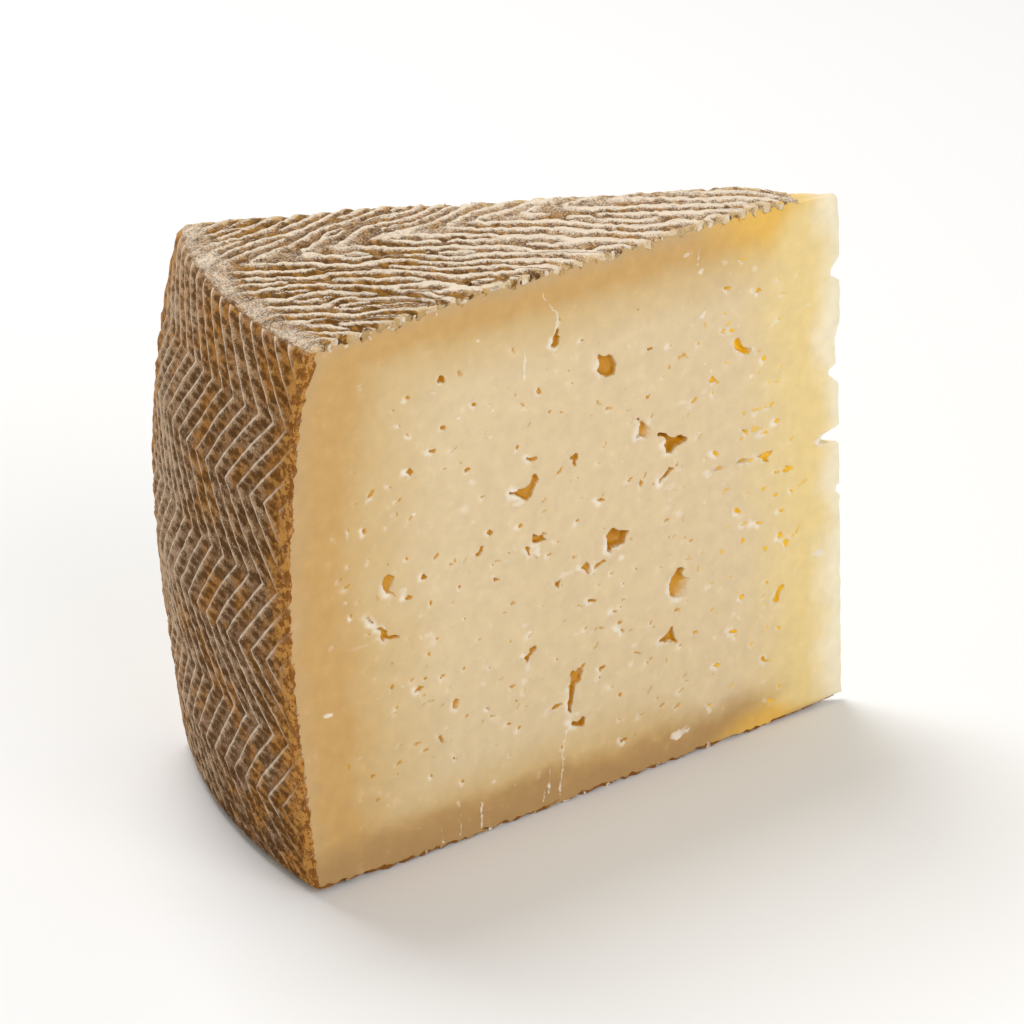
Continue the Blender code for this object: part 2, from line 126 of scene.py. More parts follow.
# Openings of the front cut, read from the photograph, as (depth, strength of the colour inside,
# which is painted light gone through the paste, how much both fade towards the tip, corners as
# distances to the right and down)
FRONT_HOLLOWS = (
    (2.6, 0.85, 0.4, (
        (55.6, 14.7), (56.4, 15.0), (56.6, 14.7), (57.1, 15.1), (57.9, 15.4), (58.6, 15.2), (59.3, 15.9),
        (60.0, 17.3), (59.5, 18.9), (57.9, 18.9), (56.7, 18.2), (56.2, 17.5), (55.7, 17.2), (56.4, 16.9),
        (56.6, 16.2), (56.4, 15.4))),
    (2.2, 1.0, 0.85, (
        (63.4, 27.2), (63.9, 27.0), (64.4, 27.7), (65.3, 28.6), (66.5, 29.7), (66.8, 30.4), (65.6, 31.0),
        (64.8, 30.7), (64.0, 30.3), (63.2, 30.5), (63.1, 30.0), (63.8, 29.6), (63.8, 28.8), (64.2, 28.2),
        (63.9, 27.7))),
    (3.0, 1.0, 0.1, (
        (67.2, 30.5), (68.2, 30.7), (69.2, 31.1), (70.1, 32.0), (72.2, 32.2), (73.0, 32.8), (73.5, 32.9),
        (73.3, 33.7), (71.5, 33.8), (70.6, 34.2), (70.0, 34.8), (68.9, 34.4), (68.9, 33.4), (68.4, 32.9),
        (69.0, 32.5), (68.9, 31.9), (68.0, 31.3), (67.5, 31.3))),
    (1.8, 0.95, 0.5, (
        (67.3, 39.0), (67.5, 38.3), (68.5, 37.8), (69.6, 36.8), (70.3, 37.2), (71.2, 36.6), (71.5, 37.0),
        (70.4, 37.6), (69.7, 37.9), (69.0, 38.4), (68.0, 38.6), (67.7, 39.1))),
    (0.6, 0.35, 0.0, (
        (70.2, 34.8), (70.5, 34.8), (71.1, 35.7), (71.2, 36.4), (72.0, 36.2), (71.8, 36.8), (71.0, 36.8),
        (70.8, 35.8))),
    (3.0, 1.0, 0.3, (
        (56.8, 44.7), (57.3, 44.3), (57.9, 43.9), (58.4, 43.7), (59.1, 44.3), (60.6, 44.9), (62.3, 45.3),
        (62.4, 45.6), (61.6, 45.4), (61.1, 45.6), (60.8, 46.1), (60.6, 46.9), (59.2, 47.3), (58.1, 47.1),
        (57.9, 47.5), (57.9, 48.2), (57.5, 47.7), (56.9, 47.2), (57.0, 46.0))),
    (2.6, 1.0, 1.0, (
        (70.4, 54.7), (69.4, 55.5), (69.0, 56.3), (68.9, 57.3), (69.1, 58.3), (69.7, 59.0), (70.9, 59.5),
        (72.6, 59.4), (72.5, 57.6), (74.2, 56.5), (72.0, 56.0), (71.7, 55.3), (72.4, 54.9), (71.7, 54.3),
        (70.8, 54.2))),
    (1.8, 0.95, 0.45, (
        (66.5, 65.7), (66.9, 65.2), (68.0, 64.8), (68.8, 64.4), (69.3, 63.7), (69.7, 64.0), (69.8, 65.2),
        (70.1, 66.0), (71.2, 67.0), (70.1, 67.0), (69.3, 66.4), (68.8, 65.9), (68.0, 66.2), (67.2, 65.8))),
    (2.0, 0.9, 0.35, (
        (38.5, 32.3), (38.9, 32.0), (39.2, 32.3), (39.9, 32.5), (40.5, 32.2), (41.7, 32.4), (42.6, 32.1),
        (43.0, 31.6), (43.2, 30.8), (43.8, 30.5), (44.3, 30.9), (44.6, 31.9), (43.9, 32.5), (43.5, 33.3),
        (43.0, 34.2), (42.1, 34.7), (41.3, 34.2), (40.4, 33.4), (39.5, 32.9), (38.9, 32.8))),
    (1.2, 0.95, 0.5, (
        (41.9, 27.3), (42.4, 27.5), (43.2, 27.9), (44.4, 27.9), (44.5, 28.4), (43.9, 28.8), (43.0, 28.5),
        (42.4, 28.1))),
    (1.4, 0.85, 0.1, (
        (50.0, 29.5), (51.0, 29.7), (51.7, 29.3), (52.1, 29.7), (52.1, 30.5), (51.6, 30.9), (51.8, 31.7),
        (51.3, 31.6), (50.8, 31.0), (51.0, 30.4), (50.5, 30.2))),
    (1.3, 0.85, 0.1, (
        (43.1, 39.9), (43.5, 40.6), (44.0, 40.9), (44.9, 40.8), (45.1, 41.6), (45.9, 42.1), (44.7, 42.0),
        (43.6, 42.1), (42.9, 41.9), (42.7, 41.4), (42.8, 40.7))),
    (0.9, 0.6, 0.2, (
        (41.8, 41.6), (42.1, 42.0), (42.3, 42.4), (43.0, 42.2), (42.4, 42.8), (42.2, 43.3), (43.2, 43.7),
        (44.1, 44.4), (43.3, 44.8), (42.7, 43.9), (41.9, 43.7), (41.7, 42.8), (41.2, 42.4), (41.6, 42.1))),
    (1.0, 0.75, 0.0, (
        (51.4, 48.6), (52.6, 48.1), (53.1, 47.8), (53.7, 48.5), (53.7, 49.3), (54.1, 49.9), (53.3, 50.2),
        (52.8, 49.4), (52.2, 48.9))),
    (0.7, 0.4, 0.0, (
        (54.0, 49.8), (54.7, 48.8), (56.4, 48.4), (57.7, 49.1), (56.0, 49.3), (54.8, 49.6))),
    (1.5, 0.95, 0.2, (
        (46.4, 49.0), (47.0, 49.5), (48.3, 49.2), (47.7, 50.0), (47.6, 50.6), (47.3, 50.9), (46.8, 50.0))),
    (1.4, 0.95, 0.3, (
        (41.3, 58.8), (42.9, 58.8), (42.9, 59.5), (42.0, 60.0), (41.5, 60.4), (41.2, 60.9), (41.0, 61.8),
        (40.8, 61.5), (40.7, 60.7), (40.2, 60.0), (41.1, 59.8), (41.5, 59.5))),
    (1.7, 0.75, 0.3, (
        (49.1, 65.6), (49.6, 65.1), (50.2, 65.5), (50.8, 65.0), (51.3, 65.4), (51.8, 66.0), (51.4, 66.6),
        (51.3, 67.3), (51.8, 67.6), (50.4, 67.7), (50.0, 68.2), (49.8, 69.3), (49.5, 70.6), (49.1, 71.6),
        (49.5, 72.7), (48.8, 72.2), (48.3, 71.6), (48.3, 70.4), (48.7, 69.2), (48.8, 67.9), (49.2, 66.9))),
    (1.1, 0.95, 0.2, (
        (44.3, 70.6), (45.3, 70.1), (45.9, 69.8), (47.5, 70.0), (48.1, 69.7), (48.0, 70.3), (47.0, 70.4),
        (46.0, 70.7), (45.3, 70.5))),
    (2.2, 1.0, 0.1, (
        (48.2, 73.5), (49.4, 73.8), (50.4, 74.1), (51.3, 73.5), (51.9, 73.9), (51.7, 74.5), (51.7, 75.5),
        (51.0, 75.3), (50.0, 74.9), (49.1, 74.6), (49.0, 74.2))),
    (1.0, 0.95, 0.1, (
        (54.5, 66.1), (56.2, 66.2), (56.0, 66.8), (55.2, 66.9), (55.0, 67.4), (55.0, 68.0), (55.5, 68.3),
        (54.1, 68.3), (54.7, 67.9), (54.8, 66.9))),
    (1.7, 1.0, 0.0, (
        (82.8, 20.0), (83.0, 19.4), (83.9, 19.2), (84.3, 20.0), (84.7, 20.8), (85.3, 21.3), (86.3, 21.7),
        (86.6, 22.0), (86.1, 22.6), (85.0, 22.4), (84.0, 21.8), (83.1, 21.1))),
    (1.1, 0.85, 0.4, (
        (77.7, 24.8), (78.2, 24.4), (78.6, 24.1), (79.1, 24.8), (79.6, 25.2), (80.0, 25.7), (79.6, 26.0),
        (79.0, 25.3), (78.5, 25.5), (78.0, 25.2))),
    (1.3, 1.0, 0.2, (
        (86.8, 39.6), (88.0, 39.9), (89.5, 39.7), (90.3, 40.2), (90.0, 40.8), (89.2, 41.0), (89.8, 41.7),
        (89.4, 41.8), (88.4, 41.2), (88.1, 40.7), (87.5, 40.2))),
    (1.3, 0.85, 0.1, (
        (89.8, 65.6), (90.3, 65.0), (90.8, 64.2), (91.3, 63.4), (92.3, 63.4), (92.6, 64.2), (91.7, 64.6),
        (91.4, 65.4), (91.2, 66.5), (90.4, 66.1))),
    (1.1, 0.9, 0.55, (
        (87.2, 74.9), (87.6, 74.4), (88.1, 74.8), (88.3, 75.4), (89.6, 75.8), (90.4, 75.0), (89.7, 76.2),
        (88.3, 76.0), (87.5, 75.5))),
    (1.6, 1.0, 0.0, (
        (26.2, 10.9), (26.8, 10.3), (27.3, 10.1), (27.8, 10.7), (28.1, 11.7), (27.2, 11.5), (26.6, 11.4))),
    (1.7, 0.95, 0.1, (
        (48.9, 8.5), (49.3, 9.0), (49.0, 9.6), (49.3, 9.9), (49.7, 10.3), (49.2, 10.3), (49.2, 10.9),
        (48.8, 11.4), (48.2, 11.7), (47.6, 11.3), (47.4, 10.9), (47.9, 10.4), (47.8, 9.8), (48.3, 9.5))),
    (0.9, 0.55, 0.5, (
        (14.6, 40.0), (15.0, 39.1), (16.0, 38.8), (17.2, 39.6), (16.6, 40.8), (16.0, 41.5), (16.8, 42.0),
        (17.4, 43.1), (16.9, 43.0), (16.2, 42.2), (15.3, 41.9), (14.9, 41.2))),
    (1.1, 0.7, 0.1, (
        (11.2, 44.4), (12.1, 44.6), (12.8, 45.6), (13.2, 46.5), (13.6, 46.9), (14.3, 46.8), (15.3, 47.9),
        (15.3, 48.7), (16.6, 48.9), (18.5, 49.8), (17.3, 49.9), (15.6, 49.4), (14.7, 49.1), (14.3, 49.8),
        (13.8, 48.4), (14.0, 47.6), (13.2, 47.1), (12.8, 46.3), (12.0, 45.5))),
    (1.3, 0.95, 0.0, (
        (31.9, 40.4), (32.8, 40.0), (33.1, 39.3), (33.7, 39.5), (33.5, 40.3), (32.9, 41.0), (32.2, 40.9))),
    (1.3, 1.0, 0.1, (
        (21.6, 41.6), (21.9, 40.9), (22.3, 40.6), (22.8, 41.1), (23.3, 41.5), (22.6, 41.7))),
    (1.1, 0.8, 0.8, (
        (26.6, 63.2), (27.2, 62.8), (28.1, 63.3), (28.2, 64.3), (27.2, 64.8), (26.5, 64.3))),
    (0.9, 0.6, 0.8, (
        (23.5, 67.9), (24.3, 68.0), (25.2, 69.3), (25.3, 70.2), (24.5, 69.8), (23.9, 69.1))),
)

# Smaller ones, as (right, down, width, height, turn in degrees, strength)
FRONT_MARKS = (
    (66.5, 16.6, 2.2, 0.7, 8, 0.85), (58.2, 24.0, 2.1, 0.7, 12, 0.4), (65.8, 24.3, 1.2, 1.0, -20, 0.5),
    (56.2, 38.5, 2.1, 0.7, 14, 0.7), (70.2, 20.5, 1.0, 0.9, 0, 0.45), (72.4, 21.2, 2.4, 0.4, 30, 0.3),
    (61.5, 21.5, 0.5, 1.6, 5, 0.3), (57.4, 29.6, 0.5, 1.2, 30, 0.3), (56.1, 32.4, 1.2, 0.5, 20, 0.3),
    (58.1, 33.9, 1.1, 0.5, 0, 0.35), (53.9, 54.7, 2.5, 0.8, 14, 0.85), (59.4, 61.4, 2.5, 0.7, 35, 0.75),
    (74.0, 66.3, 1.5, 0.8, 10, 0.65), (65.8, 62.8, 1.0, 0.7, -20, 0.6), (60.0, 53.7, 0.8, 0.6, 30, 0.8),
    (64.4, 68.5, 1.1, 0.9, 20, 0.5), (73.7, 50.4, 1.5, 0.6, -15, 0.5), (71.1, 44.7, 2.0, 0.4, 10, 0.4),
    (73.0, 53.4, 2.2, 0.5, 10, 0.4), (75.8, 53.2, 1.6, 0.4, 18, 0.35), (67.6, 53.2, 1.6, 0.5, 15, 0.3),
    (40.6, 25.5, 0.9, 1.0, 20, 0.9), (40.8, 38.3, 1.5, 1.0, 10, 0.6), (34.9, 37.8, 1.7, 1.0, 20, 1.0),
    (35.8, 45.7, 1.8, 0.8, 28, 0.95), (36.7, 46.3, 1.2, 0.3, 20, 0.5), (35.2, 43.1, 0.6, 0.8, 0, 0.7),
    (36.5, 42.8, 1.1, 0.4, 0, 0.4), (39.0, 43.4, 2.0, 0.4, -5, 0.4), (51.5, 40.6, 1.2, 0.6, -20, 0.7),
    (50.5, 33.7, 0.7, 0.5, 0, 0.5), (51.9, 33.7, 0.6, 0.5, 30, 0.6), (46.7, 62.4, 1.2, 0.5, 40, 0.5),
    (58.8, 72.2, 1.0, 1.0, 50, 0.65), (59.2, 80.2, 2.3, 0.8, 10, 0.9), (58.4, 76.4, 0.8, 0.5, 30, 0.6),
    (47.1, 77.6, 0.7, 0.8, 30, 0.6), (73.8, 69.2, 1.5, 0.4, 20, 0.4), (62.6, 66.3, 2.4, 0.7, 20, 0.35),
    (81.8, 10.7, 2.0, 0.9, 15, 0.95), (88.0, 12.6, 1.9, 0.8, 6, 1.0), (81.3, 14.7, 1.1, 0.6, 35, 0.7),
    (84.8, 12.1, 1.1, 0.3, 5, 0.5), (81.0, 17.5, 1.5, 0.9, 10, 0.85), (82.8, 17.9, 1.8, 0.7, 12, 0.45),
    (88.9, 24.1, 1.0, 1.3, 40, 0.7), (84.7, 32.1, 1.1, 0.9, 10, 0.55), (87.5, 32.2, 2.6, 0.8, 0, 0.3),
    (92.4, 12.0, 1.1, 0.5, 0, 0.5), (92.8, 14.3, 1.8, 0.4, 15, 0.5), (84.9, 35.3, 2.0, 0.8, 30, 0.9),
    (86.8, 35.4, 1.8, 1.6, 10, 0.4), (88.6, 36.5, 3.6, 0.5, 8, 0.5), (91.3, 35.2, 1.5, 0.9, -20, 0.8),
    (78.9, 37.2, 1.9, 0.9, 35, 0.75), (77.0, 37.6, 1.0, 0.5, -15, 0.7), (84.3, 40.0, 2.0, 0.7, 20, 1.0),
    (91.3, 43.9, 1.8, 0.7, 20, 1.0), (93.4, 44.0, 2.8, 1.3, -4, 0.7), (88.4, 45.9, 1.3, 0.8, -10, 0.6),
    (80.4, 44.1, 0.7, 1.1, 20, 0.5), (82.4, 44.0, 1.9, 0.3, 10, 0.35), (83.1, 48.1, 2.1, 0.9, 35, 0.95),
    (91.0, 47.7, 1.4, 0.8, 8, 0.75), (94.1, 47.9, 1.3, 0.7, 40, 0.75), (84.3, 50.7, 1.5, 0.6, -20, 0.7),
    (85.9, 50.3, 1.1, 0.4, 20, 0.5), (87.5, 51.5, 2.5, 0.6, 12, 0.6), (92.1, 50.7, 1.5, 0.7, 5, 0.75),
    (84.0, 53.5, 1.4, 1.0, 15, 0.85), (79.8, 54.1, 0.9, 1.0, 20, 0.5), (91.6, 54.8, 1.3, 1.3, 10, 1.0),
    (92.8, 56.4, 1.4, 1.8, -30, 0.7), (88.6, 56.2, 1.1, 1.2, 0, 0.5), (83.6, 63.1, 1.6, 1.0, 25, 0.8),
    (82.5, 61.9, 0.5, 1.4, -20, 0.4), (88.9, 62.2, 1.7, 0.7, 30, 0.8), (81.8, 68.5, 2.5, 0.7, 14, 0.95),
    (86.8, 67.6, 0.5, 0.9, -30, 0.4), (88.0, 67.6, 1.3, 0.4, 20, 0.4), (88.7, 69.9, 0.6, 0.9, 0, 0.5),
    (91.1, 70.7, 1.1, 0.9, 30, 0.7), (85.4, 71.8, 1.3, 0.7, -12, 0.7), (78.5, 73.4, 1.9, 0.8, 18, 0.65),
    (77.5, 74.6, 0.9, 0.5, 0, 0.5), (79.3, 71.5, 1.0, 0.4, 15, 0.3), (76.6, 79.7, 1.4, 0.6, 15, 0.8),
    (21.0, 12.1, 1.3, 0.8, 15, 0.6), (18.3, 13.4, 1.0, 0.5, -10, 0.6), (19.4, 16.1, 1.0, 0.6, 10, 0.6),
    (20.7, 18.0, 1.0, 0.6, 50, 0.85), (21.5, 18.4, 1.3, 0.2, 20, 0.6), (27.2, 18.6, 1.5, 0.9, 20, 0.8),
    (25.1, 21.7, 1.9, 0.9, 8, 0.8), (20.7, 23.8, 1.7, 1.1, 20, 1.0), (20.0, 24.5, 1.0, 0.8, 0, 0.4),
    (33.0, 16.5, 1.5, 0.6, 18, 0.85), (31.5, 16.8, 1.3, 0.3, 0, 0.4), (30.1, 25.0, 1.0, 0.8, 20, 0.5),
    (31.2, 26.4, 1.4, 0.9, 0, 0.85), (9.1, 30.1, 0.5, 2.1, 0, 0.6), (12.0, 30.8, 1.1, 1.3, 10, 0.95),
    (12.4, 29.0, 0.4, 1.1, 15, 0.4), (15.3, 28.7, 1.0, 0.4, 10, 0.5), (18.0, 29.8, 0.7, 0.9, 0, 0.6),
    (19.7, 31.7, 0.3, 1.0, -20, 0.5), (37.0, 13.1, 0.9, 0.3, 15, 0.6), (45.0, 17.6, 1.1, 1.2, 45, 0.95),
    (40.6, 17.0, 0.5, 1.0, -20, 0.5), (47.0, 21.5, 1.1, 0.6, 0, 0.65), (53.8, 11.8, 1.6, 0.5, 8, 0.85),
    (49.4, 7.3, 0.6, 1.7, -10, 0.5), (48.4, 12.3, 1.0, 0.7, 0, 0.5), (40.6, 9.8, 0.7, 1.5, -15, 0.4),
    (16.0, 37.2, 0.6, 0.9, 0, 0.6), (19.4, 37.4, 1.1, 0.7, 10, 0.6), (8.9, 43.6, 1.0, 0.8, 40, 0.8),
    (19.5, 43.8, 1.7, 0.9, 18, 0.8), (21.3, 43.0, 0.3, 1.2, 10, 0.4), (23.7, 44.1, 0.6, 0.5, 30, 0.7),
    (23.4, 45.9, 0.9, 1.2, 10, 0.8), (28.9, 44.9, 1.0, 1.0, 0, 0.95), (29.6, 50.3, 0.6, 0.6, -30, 0.7),
    (22.8, 54.1, 0.9, 1.1, -20, 0.5), (15.6, 57.4, 0.9, 1.2, 20, 0.7), (21.7, 57.8, 0.9, 0.6, 0, 0.8),
    (20.5, 59.2, 1.9, 0.9, -8, 0.85), (29.0, 58.4, 1.1, 0.7, 20, 0.75), (34.0, 59.8, 2.4, 0.4, 18, 0.6),
    (36.1, 60.3, 1.6, 0.3, 22, 0.4), (33.0, 62.0, 1.0, 0.3, -20, 0.5), (29.2, 66.3, 1.1, 0.6, -35, 0.55),
    (33.2, 66.5, 1.4, 0.7, 25, 0.75), (38.7, 66.9, 1.3, 0.5, 40, 0.6), (40.3, 66.3, 1.3, 0.3, 20, 0.5),
    (41.2, 64.1, 1.7, 0.4, 12, 0.5), (37.0, 70.3, 1.4, 0.5, 10, 0.95), (26.6, 72.7, 1.7, 0.6, 35, 0.9),
    (22.0, 74.1, 0.6, 0.9, 0, 0.8), (27.9, 77.1, 0.9, 0.9, 10, 0.9), (37.0, 75.5, 0.4, 0.9, -15, 0.7),
    (27.3, 80.7, 0.4, 1.1, -15, 0.7), (38.0, 56.7, 0.5, 1.1, -10, 0.5), (88.0, 35.6, 1.7, 1.0, 0, 0.3),
    (89.3, 83.0, 1.9, 0.8, 12, 0.5), (91.0, 81.0, 1.3, 0.8, 0, 0.5), (23.0, 78.6, 1.0, 0.4, 0, 0.4),
)

# White flakes and smears on the front cut, as (right, down, width, height, strength)
FRONT_FLAKES = (
    (76.5, 13.9, 1.8, 1.6, 1.0), (76.6, 6.6, 1.8, 1.4, 0.8), (70.4, 82.6, 4.6, 1.9, 1.0),
    (99.4, 60.3, 2.6, 1.8, 1.0), (100.5, 41.0, 3.0, 2.4, 1.2), (29.8, 33.6, 3.4, 4.6, 0.4),
    (28.6, 31.0, 2.2, 1.4, 0.5), (8.0, 41.2, 1.3, 1.2, 0.7), (3.4, 58.2, 2.4, 0.9, 0.9),
    (20.2, 12.4, 1.4, 0.9, 0.6), (10.4, 1.2, 1.4, 0.9, 0.9), (34.6, 68.8, 2.0, 2.2, 0.4),
    (43.2, 43.6, 2.4, 1.9, 0.8), (40.0, 34.6, 2.8, 1.4, 0.8), (49.2, 48.8, 4.8, 1.4, 0.6),
    (69.6, 40.2, 2.6, 1.3, 0.7), (77.0, 40.0, 2.2, 2.3, 0.6), (41.2, 54.8, 1.6, 1.0, 0.6),
    (72.0, 27.0, 3.3, 1.0, 0.4), (71.6, 45.4, 2.6, 1.3, 0.4), (17.4, 29.6, 2.2, 0.9, 0.5),
    (18.6, 42.4, 1.7, 1.3, 0.5), (9.6, 49.0, 5.6, 0.7, 0.4), (65.4, 63.0, 3.7, 1.4, 0.4),
    (62.0, 64.8, 1.9, 1.2, 0.5), (81.4, 6.4, 1.9, 1.4, 0.5), (50.6, 70.0, 1.6, 3.6, 0.4),
    (23.8, 27.8, 0.7, 4.6, 0.3), (16.3, 54.0, 1.4, 0.4, 0.7), (21.3, 50.9, 0.4, 0.9, 0.7),
    (33.8, 79.1, 0.8, 0.7, 0.6), (37.6, 80.9, 0.9, 0.5, 0.6), (85.0, 41.0, 1.4, 1.4, 0.3),
    (84.2, 40.4, 1.8, 0.8, 0.9), (98.0, 17.6, 1.8, 0.9, 0.6), (96.9, 31.8, 0.8, 1.4, 0.5),
    (73.8, 3.4, 1.2, 0.8, 0.5), (76.7, 80.9, 1.4, 0.9, 0.6), (72.9, 21.5, 0.9, 0.6, 0.4),
    (84.6, 64.0, 1.4, 1.0, 0.3),
)

# Pale cracks and knife scratches of the front cut, as runs of (right, down)
FRONT_SCRATCHES = (
    ((46.4, 2.5), (47.6, 4.6), (49.0, 6.2), (48.9, 8.2), (48.0, 9.4)),
    ((48.0, 75.0), (47.2, 78.0), (47.0, 80.4), (46.2, 85.5)),
    ((43.3, 82.0), (43.0, 85.5)),
    ((44.6, 80.6), (44.2, 84.5)),
    ((31.3, 81.9), (30.8, 86.0)),
    ((27.0, 82.6), (26.9, 86.0)),
    ((23.4, 83.2), (23.5, 86.0)),
    ((76.3, 3.2), (76.0, 5.4)),
    ((43.0, 9.0), (42.2, 16.0)),
)
# Half the width of a scratch
SCRATCH_WIDTH = 0.24

# How white the flakes and the scratches are at most, and how far the flakes and the smear stand up
FLAKE_STRENGTH = 0.75
SCRATCH_STRENGTH = 0.85
FLAKE_RAISED = 0.2
SMEAR_RAISED = 0.07

# The small marks at seeded places: how many, their seed, the widths and the strengths of the colour
FRONT_NICKS = (560, SEED + 50, (0.5, 2.0), (0.2, 0.55))
BACK_MARKS = (90, SEED + 51, (0.9, 2.2), (0.5, 1.0))
BACK_NICKS = (260, SEED + 53, (0.5, 1.7), (0.2, 0.6))

# The small flakes at seeded places: how many on each cut, their widths and their strengths
FLAKE_COUNT = 110
FLAKE_WIDTHS = (0.4, 1.2)
FLAKE_STRENGTHS = (0.2, 0.9)

# Where those marks may be, to the right and from the top and the base, and how far they fade
MARK_RIGHT = (5.0, 97.0)
MARK_MARGIN = 5.0
MARK_FADE = 0.4

# The back's openings take their outlines from this many of the front's, the largest
BORROWED_OUTLINES = 20
# They stand in this many cells each way, from a first edge over a length, in millimetres
BACK_CELLS = 4
BACK_FROM_TIP = (22.0, 62.0)
BACK_BELOW_TOP = (14.0, 58.4)

# Notches of the tip edge: the heights below the top where each begins, has its full depth from and
# to, and ends, and that depth
TIP_NOTCHES = (
    (10.6, 13.3, 13.8, 15.1, 1.75),
    (21.8, 25.2, 29.9, 33.0, 0.6),
    (28.6, 29.9, 30.3, 32.2, 1.4),
    (39.2, 40.5, 41.3, 42.4, 4.1),
    (49.2, 49.8, 50.2, 51.6, 0.9),
)
# Where the tip bulges out between two heights, and how far, and the lengths of its two ends
TIP_BULGE = (1.0, 23.0, 0.35)
TIP_BULGE_EASE = (4.0, 3.0)
TIP_WOBBLE = 0.1

# How far the upper corner of the tip is worn off, and over what height
TIP_CORNER = (1.1, 0.8)
# Half the thickness that the paste keeps at the tip line
TIP_HALF_THICKNESS = 0.17

# The openings' edges: how far their sides bow, the width of their walls and of the pale smear and painted
# highlight beside
OUTLINE_BOW = 0.07
WALL_WIDTH = 0.3
SMEAR_AND_HIGHLIGHT_WIDTH = 0.85
# How far the smear and its painted highlight reach beside a large opening, their strength, and the way
# they lie, right and down
SMEAR_AND_HIGHLIGHT_REACH = 2.0
SMEAR_AND_HIGHLIGHT_STRENGTH = 1.9
SMEAR_AND_HIGHLIGHT_SIDE = (-0.94, 0.35)

# The paste dried less deep under the top and the base than under the side, by this factor
FACE_DRYING = 2.1
# and less deep again above the base near the tip, by this share more
FOOT_DRYING = 1.3
FOOT_DRYING_FROM_TIP = (-42.0, -14.0)

# Share of an opening's depth that is cut, and how near its rim, in cells, points move onto it
HOLLOW_SHARE = 0.7
SNAP_SHARE = 0.55

# Heights of the cut's relief: its long swell, its grain, the torn floors of its openings and the
# fine knife marks, which run down the cut: their scale along it, down it and into it
CUT_SWELL = 0.05
CUT_GRAIN = 0.01
TORN_FLOOR = 0.1
KNIFE_MARKS = 0.012
KNIFE_STRETCH = (1.6, 0.12, 1.0)

# The prints' uneven slopes: where the lowest place lies between two crests of the side
SIDE_LOWEST = 0.8

# The side's print stands lower here than in the solid, whose relief has to reach its outline
SIDE_SHOWN = 0.55

# Lowest place between two crests of the faces, as a share of the way towards the viewer
FACE_LOWEST = 0.8

# Sizes of the rind's lumps, of its clods and of its fine grain
RIND_GRAINS = (2.6, 1.1, 0.55)

# Where the side's print gets untidy below the top, and the top's from the rim to the tip
SIDE_MESS = (66.0, 80.0)
TOP_MESS = (-62.0, -12.0)

# Where the colours of the side's print fade in from a face
SIDE_TINT_FADE = (-0.3, 0.9)

# How far from a cut the rind has crumbled, and over what height its upper corner is thicker
CRUMBLED_WIDTH = 0.45
CORNER_HEIGHT = 7.0

# Where the base's rind begins at the tip, and how far the rind's inner edge lies inside a cut
BASE_BARE = 1.5
EDGE_DEPTH = 0.03

# Rows and columns of the surfaces, and rows of half a bend between a face and the side
FRONT_GRID = (400, 482)
BACK_GRID = (330, 396)
MIDDLE_GRID = (90, 8)
SIDE_GRID = (325, 288)
TOP_GRID = (420, 222)
BASE_GRID = (300, 160)
INNER_GRID = (170, 12)
BEND_ROWS = 8

# How far a crest of the top hangs over the cut, and how much lower the cut begins at the bare tip
OVERHANG = (1.05, 0.5)

# Triangles that each half of the paste keeps, and the angle from which an edge looks sharp
PASTE_TRIANGLES = 197000
SHARP_ANGLE = math.radians(38.0)

# Random numbers along each side of the noise's lattice, and plane waves in a sum
NOISE_TABLE = 48
WAVE_COUNT = 7

# Short ridges of the faces between the others: how many, how long, and how far from the tip and the
# spine they begin
FORK_COUNT = 44
FORK_FROM_TIP = 95.0
FORK_RUN = (4.0, 15.0)
FORK_REACH = 30.0

# The print of the faces is this much finer and lower beyond the spine
FAR_FINER = 0.15
FAR_LOWER = 0.35

# How far the top rind is worn down where it begins at the tip, and over what length
TIP_WEAR = (0.5, 5.0)

# Shares of the crumbs that lie on the front cut, and that lie along the side
CRUMBS_IN_FRONT = 0.6
CRUMBS_BESIDE = 0.02

# The soft lights, as (name, azimuth, elevation, distance, width, power), in degrees, metres and watts
SOFTBOXES = (
    ("key_light", -168.0, 62.0, 0.9, 0.5, 5.5),
    ("front_light", 12.0, 28.0, 1.1, 0.8, 5.3),
)
# How bright the white studio round it is, and the width of the floor in metres
STUDIO_STRENGTH = 0.42
FLOOR_WIDTH = 6.0


def linear(code):
    """An sRGB hex colour as linear red, green, blue and alpha, by the sRGB curve."""
    shares = [int(code[k:k + 2], 16) / 255.0 for k in (1, 3, 5)]
    return tuple(s / 12.92 if s <= 0.04045 else ((s + 0.055) / 1.055) ** 2.4 for s in shares) + (1.0,)


def colour_property(name, description, code):
    """A colour that a user can change, with an sRGB hex default."""
    return bpy.props.FloatVectorProperty(
        name=name, description=description, subtype='COLOR', size=4, min=0.0, max=1.0,
        default=linear(code))


def length_property(name, description, millimetres):
    """A length that a user can change, with its default in millimetres."""
    return bpy.props.FloatProperty(
        name=name, description=description, unit='LENGTH', subtype='DISTANCE', min=0.0,
        default=millimetres * MM)


class WedgeSizes(bpy.types.PropertyGroup):
    """Sizes of the rind and the crumbs."""
    rind: length_property("Rind", "Thickness of the rind where the cuts show it", 0.6)
    corner: length_property("Rind corner", "Extra rind at the upper end of the side", 1.1)
    grain: length_property("Rind grain", "Height of the rind's fine grain", 0.07)
    crumb: length_property("Largest crumb", "Half the width of the largest crumb beside the cuts", 0.55)
    bare: length_property("Bare tip", "Length at the tip where the top rind has come off", 7.8)
    crumbs: bpy.props.IntProperty(
        name="Crumbs", description="Number of crumbs of each kind along the cuts", default=60, min=1)


